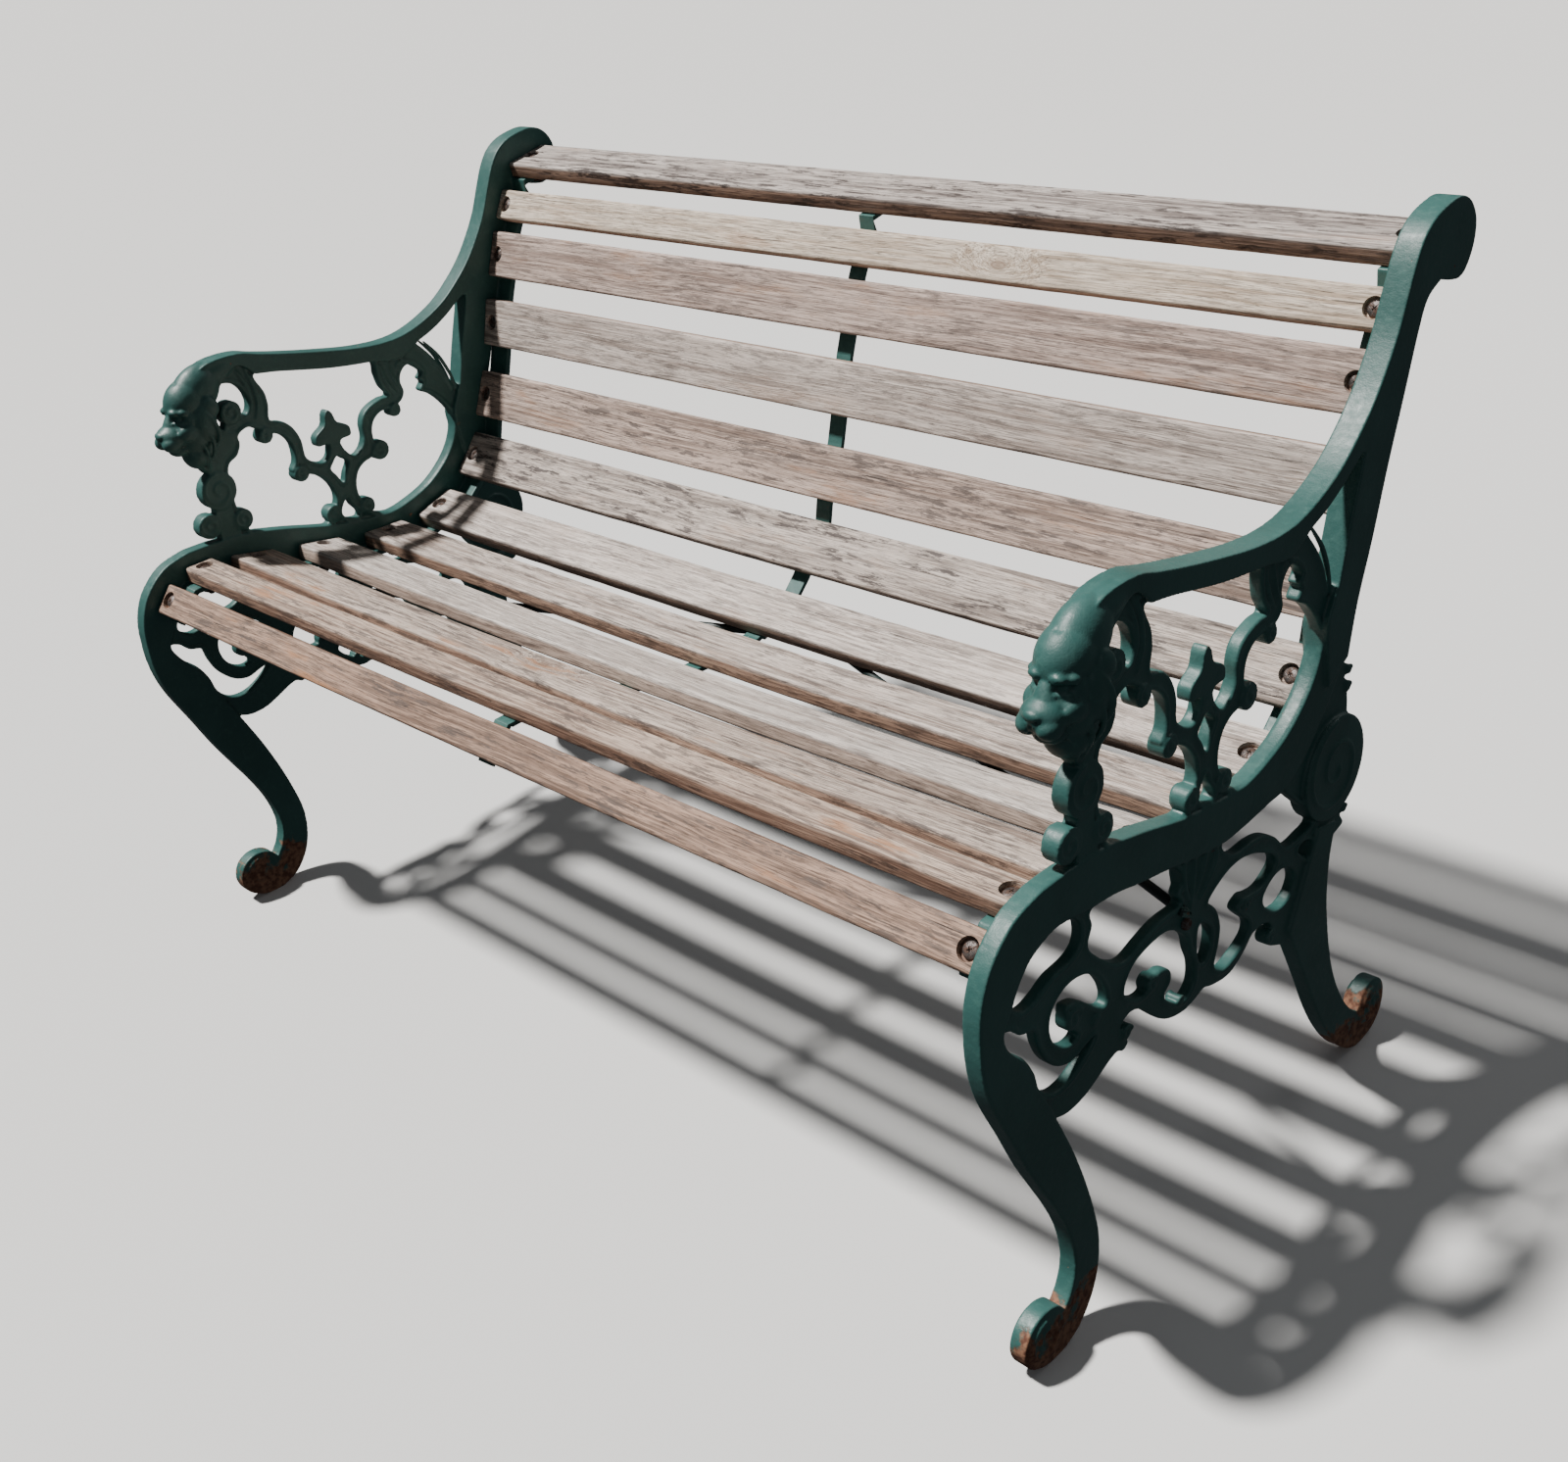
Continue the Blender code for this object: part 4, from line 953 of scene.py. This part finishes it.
def paint_material(name, wear, shade_tint=None):
    """Old teal-green gloss paint over cast iron: brush unevenness, chips on edges, rust at the feet, painted
    shade in the hollows, and optional painted shade over the whole part.
    """
    made, tree, shader = new_material(name)
    coords = put(tree, "TexCoord").outputs["Object"]
    height = put(tree, "SeparateXYZ", {0: coords}).outputs["Z"]
    bend = put(tree, "NewGeometry").outputs["Pointiness"]
    broad = pattern(tree, coords, 9.0, detail=4.0)
    fine = pattern(tree, coords, 160.0, detail=5.0)
    grit = pattern(tree, coords, 700.0, detail=2.0)
    patches = pattern(tree, coords, 38.0, offset=3.1, detail=6.0, roughness=0.65)
    colour = blend(tree, step(tree, broad, 0.35, 0.65), PAINT_DEEP, PAINT_FRESH)
    dusty = calc(tree, "MULTIPLY", step(tree, fine, 0.5, 0.75), 0.35)
    colour = blend(tree, dusty, colour, PAINT_DUSTY)
    # An optional colour laid almost fully over the paint: painted shade for parts in shadow.
    if shade_tint:
        colour = blend(tree, 0.9, colour, shade_tint)
    # Concave spots (low pointiness) go towards a darker copy of the paint: painted shade in the hollows.
    hollow_shade = step(tree, bend, 0.485, 0.44)
    colour = blend(tree, calc(tree, "MULTIPLY", hollow_shade, 0.75), colour, PAINT_HOLLOW_SHADE)
    ridge = step(tree, bend, 0.53, 0.60)
    chip_noise = step(tree, patches, 0.62 - 0.06 * wear, 0.66 - 0.06 * wear)
    pale = calc(tree, "MULTIPLY", ridge, step(tree, fine, 0.42, 0.5))
    colour = blend(tree, calc(tree, "MULTIPLY", pale, 0.55), colour, PAINT_SCRATCH)
    chips = calc(tree, "MULTIPLY", ridge, chip_noise)
    foot = step(tree, height, 0.105, 0.0)
    foot_rust = step(tree, calc(tree, "ADD", calc(tree, "MULTIPLY", foot, 0.42), patches), 0.70, 0.80)
    spots = step(tree, pattern(tree, coords, 60.0, offset=7.7, detail=4.0), 0.73, 0.76)
    rust = calc(tree, "MAXIMUM", calc(tree, "MAXIMUM", chips, foot_rust), spots)
    rusty = blend(tree, step(tree, fine, 0.35, 0.65), RUST_DARK, RUST_LIGHT)
    colour = blend(tree, rust, colour, rusty)
    gloss = calc(tree, "MULTIPLY", fine, 0.35)
    roughness = calc(tree, "ADD", calc(tree, "MAXIMUM", gloss, calc(tree, "MULTIPLY", rust, 0.5)), 0.30)
    relief = calc(tree, "ADD", calc(tree, "MULTIPLY", fine, 0.6), calc(tree, "MULTIPLY", grit, 0.25))
    relief = calc(tree, "ADD", relief, calc(tree, "MULTIPLY", broad, 1.2))
    relief = calc(tree, "SUBTRACT", relief, calc(tree, "MULTIPLY", rust, 0.35))
    finish_material(tree, shader, colour, roughness, relief, 0.55)
    return made


def steel_material():
    """Dull bolt steel going to rust."""
    made, tree, shader = new_material("rusty_steel")
    coords = put(tree, "TexCoord").outputs["Object"]
    patches = pattern(tree, coords, 260.0, detail=5.0)
    fine = pattern(tree, coords, 1500.0, detail=3.0)
    rust = step(tree, patches, 0.42, 0.58)
    brown = blend(tree, fine, STEEL_RUST_DARK, STEEL_RUST_LIGHT)
    colour = blend(tree, rust, STEEL_BARE, brown)
    metallic = calc(tree, "SUBTRACT", 0.75, calc(tree, "MULTIPLY", rust, 0.7))
    roughness = calc(tree, "ADD", 0.38, calc(tree, "MULTIPLY", rust, 0.4))
    relief = calc(tree, "ADD", calc(tree, "MULTIPLY", rust, 0.5), fine)
    finish_material(tree, shader, colour, roughness, relief, 0.4, metallic)
    return made


def knot_rings(tree, coords, knot):
    """Distance from a knot, squeezed along the grain, in units of its size."""
    u, v = knot
    spot = put(tree, "VectorMath", {0: coords, 1: (u * MM, v * MM, 0.0)}, operation="SUBTRACT").outputs[0]
    near = put(tree, "VectorMath", {0: spot, 1: (40.0, 95.0, 30.0)}, operation="MULTIPLY").outputs[0]
    return put(tree, "VectorMath", {0: near}, operation="LENGTH").outputs["Value"]


def wood_material(slat, look, seed):
    """Weathered hardwood: long grain, pores, checks, grey and warm stains, browner edges."""
    light, dark, dark_stain, warm_stain, brown_edge = look
    name = slat[0]
    made, tree, shader = new_material(name + "_grain")
    coords = put(tree, "TexCoord").outputs["Object"]
    across = put(tree, "SeparateXYZ", {0: coords})
    shift = 3.7 * seed + 1.3
    drift = pattern(tree, coords, (3.5, 14.0, 14.0), shift, 2.0)
    lift = calc(tree, "MULTIPLY", calc(tree, "SUBTRACT", drift, 0.5), 0.012)
    if name in KNOTS:
        ring = knot_rings(tree, coords, KNOTS[name])
        swirl = put(tree, "MapRange", {"Value": ring, "From Min": 0.0, "From Max": 2.6, "To Min": 0.02,
                                       "To Max": 0.0}, interpolation_type="SMOOTHSTEP").outputs["Result"]
        lift = calc(tree, "ADD", lift, swirl)
    bend = put(tree, "CombineXYZ", {"X": 0.0, "Y": lift, "Z": lift}).outputs[0]
    grain = put(tree, "VectorMath", {0: coords, 1: bend}, operation="ADD").outputs[0]
    bands = pattern(tree, grain, (1.6, 95.0, 70.0), shift, 4.0, 0.6)
    streaks = pattern(tree, grain, (7.0, 330.0, 330.0), shift + 5, 4.0, 0.65)
    fibres = pattern(tree, grain, (26.0, 1100.0, 1100.0), shift + 9, 3.0, 0.6)
    pores = step(tree, pattern(tree, grain, (55.0, 1300.0, 1300.0), shift + 2, 2.0), 0.60, 0.70)
    checks = step(tree, pattern(tree, grain, (5.5, 420.0, 420.0), shift + 4, 3.0, 0.7), 0.655, 0.70)
    clouds = pattern(tree, coords, (6.0, 26.0, 26.0), shift + 6, 5.0, 0.62)
    tone = calc(tree, "ADD", calc(tree, "MULTIPLY", bands, 0.4), calc(tree, "MULTIPLY", streaks, 0.6))
    colour = blend(tree, step(tree, tone, 0.38, 0.58), dark, light)
    hairs = step(tree, fibres, 0.47, 0.60)
    colour = blend(tree, calc(tree, "MULTIPLY", hairs, 0.7), colour, tuple(0.5 * c for c in dark))
    warm = calc(tree, "MULTIPLY", step(tree, clouds, 0.55, 0.66), step(tree, bands, 0.44, 0.56))
    colour = blend(tree, calc(tree, "MULTIPLY", warm, warm_stain), colour, WOOD_WARM)
    bleach = step(tree, pattern(tree, coords, (3.0, 30.0, 30.0), shift + 11, 3.0), 0.52, 0.70)
    colour = blend(tree, calc(tree, "MULTIPLY", bleach, 0.45), colour, tuple(1.12 * c for c in light))
    mould = pattern(tree, grain, (22.0, 150.0, 150.0), shift + 13, 6.0, 0.72)
    soil = calc(tree, "MULTIPLY", step(tree, mould, 0.51, 0.58), step(tree, clouds, 0.60, 0.48))
    colour = blend(tree, calc(tree, "MULTIPLY", soil, dark_stain), colour, WOOD_SOIL)
    colour = blend(tree, calc(tree, "MULTIPLY", pores, 0.55), colour, WOOD_PORE)
    colour = blend(tree, calc(tree, "MULTIPLY", checks, 0.8), colour, WOOD_CRACK)
    along = calc(tree, "DIVIDE", across.outputs["X"], FREE_SPAN * MM)
    bow = calc(tree, "MAXIMUM", calc(tree, "SUBTRACT", 1.0, calc(tree, "MULTIPLY", along, along)), 0.0)
    depth = calc(tree, "ADD", across.outputs["Z"], calc(tree, "MULTIPLY", bow, slat[4] * MM))
    edge = step(tree, depth, -0.0018, -0.0050)
    colour = blend(tree, calc(tree, "MULTIPLY", edge, brown_edge), colour, WOOD_EDGE, "MULTIPLY")
    from_middle = calc(tree, "ABSOLUTE", across.outputs["X"])
    end = step(tree, from_middle, (SLAT_END - 2.0) * MM, (SLAT_END - 0.3) * MM)
    colour = blend(tree, calc(tree, "MULTIPLY", end, 0.7), colour, WOOD_END)
    relief = calc(tree, "SUBTRACT", calc(tree, "MULTIPLY", streaks, 0.9), calc(tree, "MULTIPLY", checks, 0.9))
    relief = calc(tree, "SUBTRACT", relief, calc(tree, "MULTIPLY", pores, 0.3))
    relief = calc(tree, "ADD", relief, calc(tree, "MULTIPLY", fibres, 0.35))
    if name in KNOTS:
        heart = step(tree, ring, 0.55, 0.30)
        rings = calc(tree, "SINE", calc(tree, "MULTIPLY", ring, 26.0))
        circles = calc(tree, "MULTIPLY", step(tree, rings, 0.0, 1.0), step(tree, ring, 1.3, 0.4))
        colour = blend(tree, calc(tree, "MULTIPLY", circles, 0.35), colour, KNOT_RING)
        colour = blend(tree, calc(tree, "MULTIPLY", heart, 0.65), colour, KNOT_HEART)
    roughness = calc(tree, "ADD", calc(tree, "MULTIPLY", streaks, 0.25), 0.58)
    finish_material(tree, shader, colour, roughness, relief, 0.8)
    return made


# Stage.

CAMERA_PLACE = (1.2669, -1.0987, 1.1790)
CAMERA_HEADING = 47.26  # degrees from +Y towards -X
CAMERA_DROP = 28.34  # degrees below the horizon
CAMERA_ROLL = 7.22
CAMERA_LENS = 41.23
CAMERA_SHIFT = (-0.00166, -0.00459)
KEY_DIRECTION = (0.42, 0.32, -1.0)
KEY_ENERGY = 7.4
KEY_SIZE = 5  # degrees
KEY_COLOUR = (1.0, 0.975, 0.94)
FLOOR_RADIUS = 45.0
SKY_LIGHT = 0.085
SKY_SEEN = 1.15


def camera():
    data = bpy.data.cameras.new("camera")
    data.lens = CAMERA_LENS
    data.sensor_width = 36.0
    data.shift_x, data.shift_y = CAMERA_SHIFT
    made = bpy.data.objects.new("camera", data)
    bpy.context.scene.collection.objects.link(made)
    heading = Matrix.Rotation(radians(CAMERA_HEADING), 4, "Z")
    drop = Matrix.Rotation(radians(90 - CAMERA_DROP), 4, "X")
    roll = Matrix.Rotation(radians(-CAMERA_ROLL), 4, "Z")
    made.matrix_world = Matrix.Translation(CAMERA_PLACE) @ heading @ drop @ roll
    bpy.context.scene.camera = made


def lamp(name, place_at, size, power, colour=(1.0, 1.0, 1.0)):
    data = bpy.data.lights.new(name, "AREA")
    data.shape = "DISK"
    data.size = size
    data.energy = power
    data.color = colour
    made = bpy.data.objects.new(name, data)
    bpy.context.scene.collection.objects.link(made)
    made.location = place_at
    made.rotation_euler = (Vector((0, 0, 0.35)) - Vector(place_at)).to_track_quat("-Z", "Y").to_euler()


def stage():
    bm = bmesh.new()
    bmesh.ops.create_circle(bm, cap_ends=True, segments=96, radius=FLOOR_RADIUS)
    floor = new_object("floor", mesh_of("floor", bm))
    made, _, shader = new_material("pale_floor")
    shader.inputs["Base Color"].default_value = FLOOR_COLOUR
    shader.inputs["Roughness"].default_value = 0.9
    floor.data.materials.append(made)
    floor.visible_diffuse = False
    floor.visible_glossy = False
    key = bpy.data.lights.new("key", "SUN")
    key.energy = KEY_ENERGY
    key.angle = radians(KEY_SIZE)
    key.color = KEY_COLOUR
    sun = bpy.data.objects.new("key", key)
    bpy.context.scene.collection.objects.link(sun)
    sun.rotation_euler = Vector(KEY_DIRECTION).to_track_quat("-Z", "Y").to_euler()
    lamp("fill", (2.6, -2.2, 2.2), 2.4, 5.0, (0.85, 0.93, 1.0))
    lamp("rear", (0.8, 3.2, 2.6), 2.0, 14.0)
    sky = bpy.data.worlds.new("studio")
    sky.use_nodes = True
    tree = sky.node_tree
    background = tree.nodes["Background"]
    background.inputs["Color"].default_value = (0.93, 0.96, 1.0, 1.0)
    seen = put(tree, "LightPath").outputs["Is Camera Ray"]
    strength = put(tree, "MapRange", {"Value": seen, "To Min": SKY_LIGHT, "To Max": SKY_SEEN})
    tree.links.new(strength.outputs["Result"], background.inputs["Strength"])
    bpy.context.scene.world = sky


def main():
    camera()
    stage()
    paint = paint_material("worn_teal_paint", 1.0)
    strap_paint = paint_material("strap_teal_paint", 0.3)
    # The stays' paint is darkened almost to black: painted shade.
    stay_shaded_paint = paint_material("stay_painted_shade_paint", 0.8, STAY_PAINTED_SHADE)
    steel = steel_material()
    castings(paint)
    slats()
    bolts(steel)
    for side in (-1, 1):
        stay(side, stay_shaded_paint)
    keep_cad_nodes(strap_paint, steel)


main()
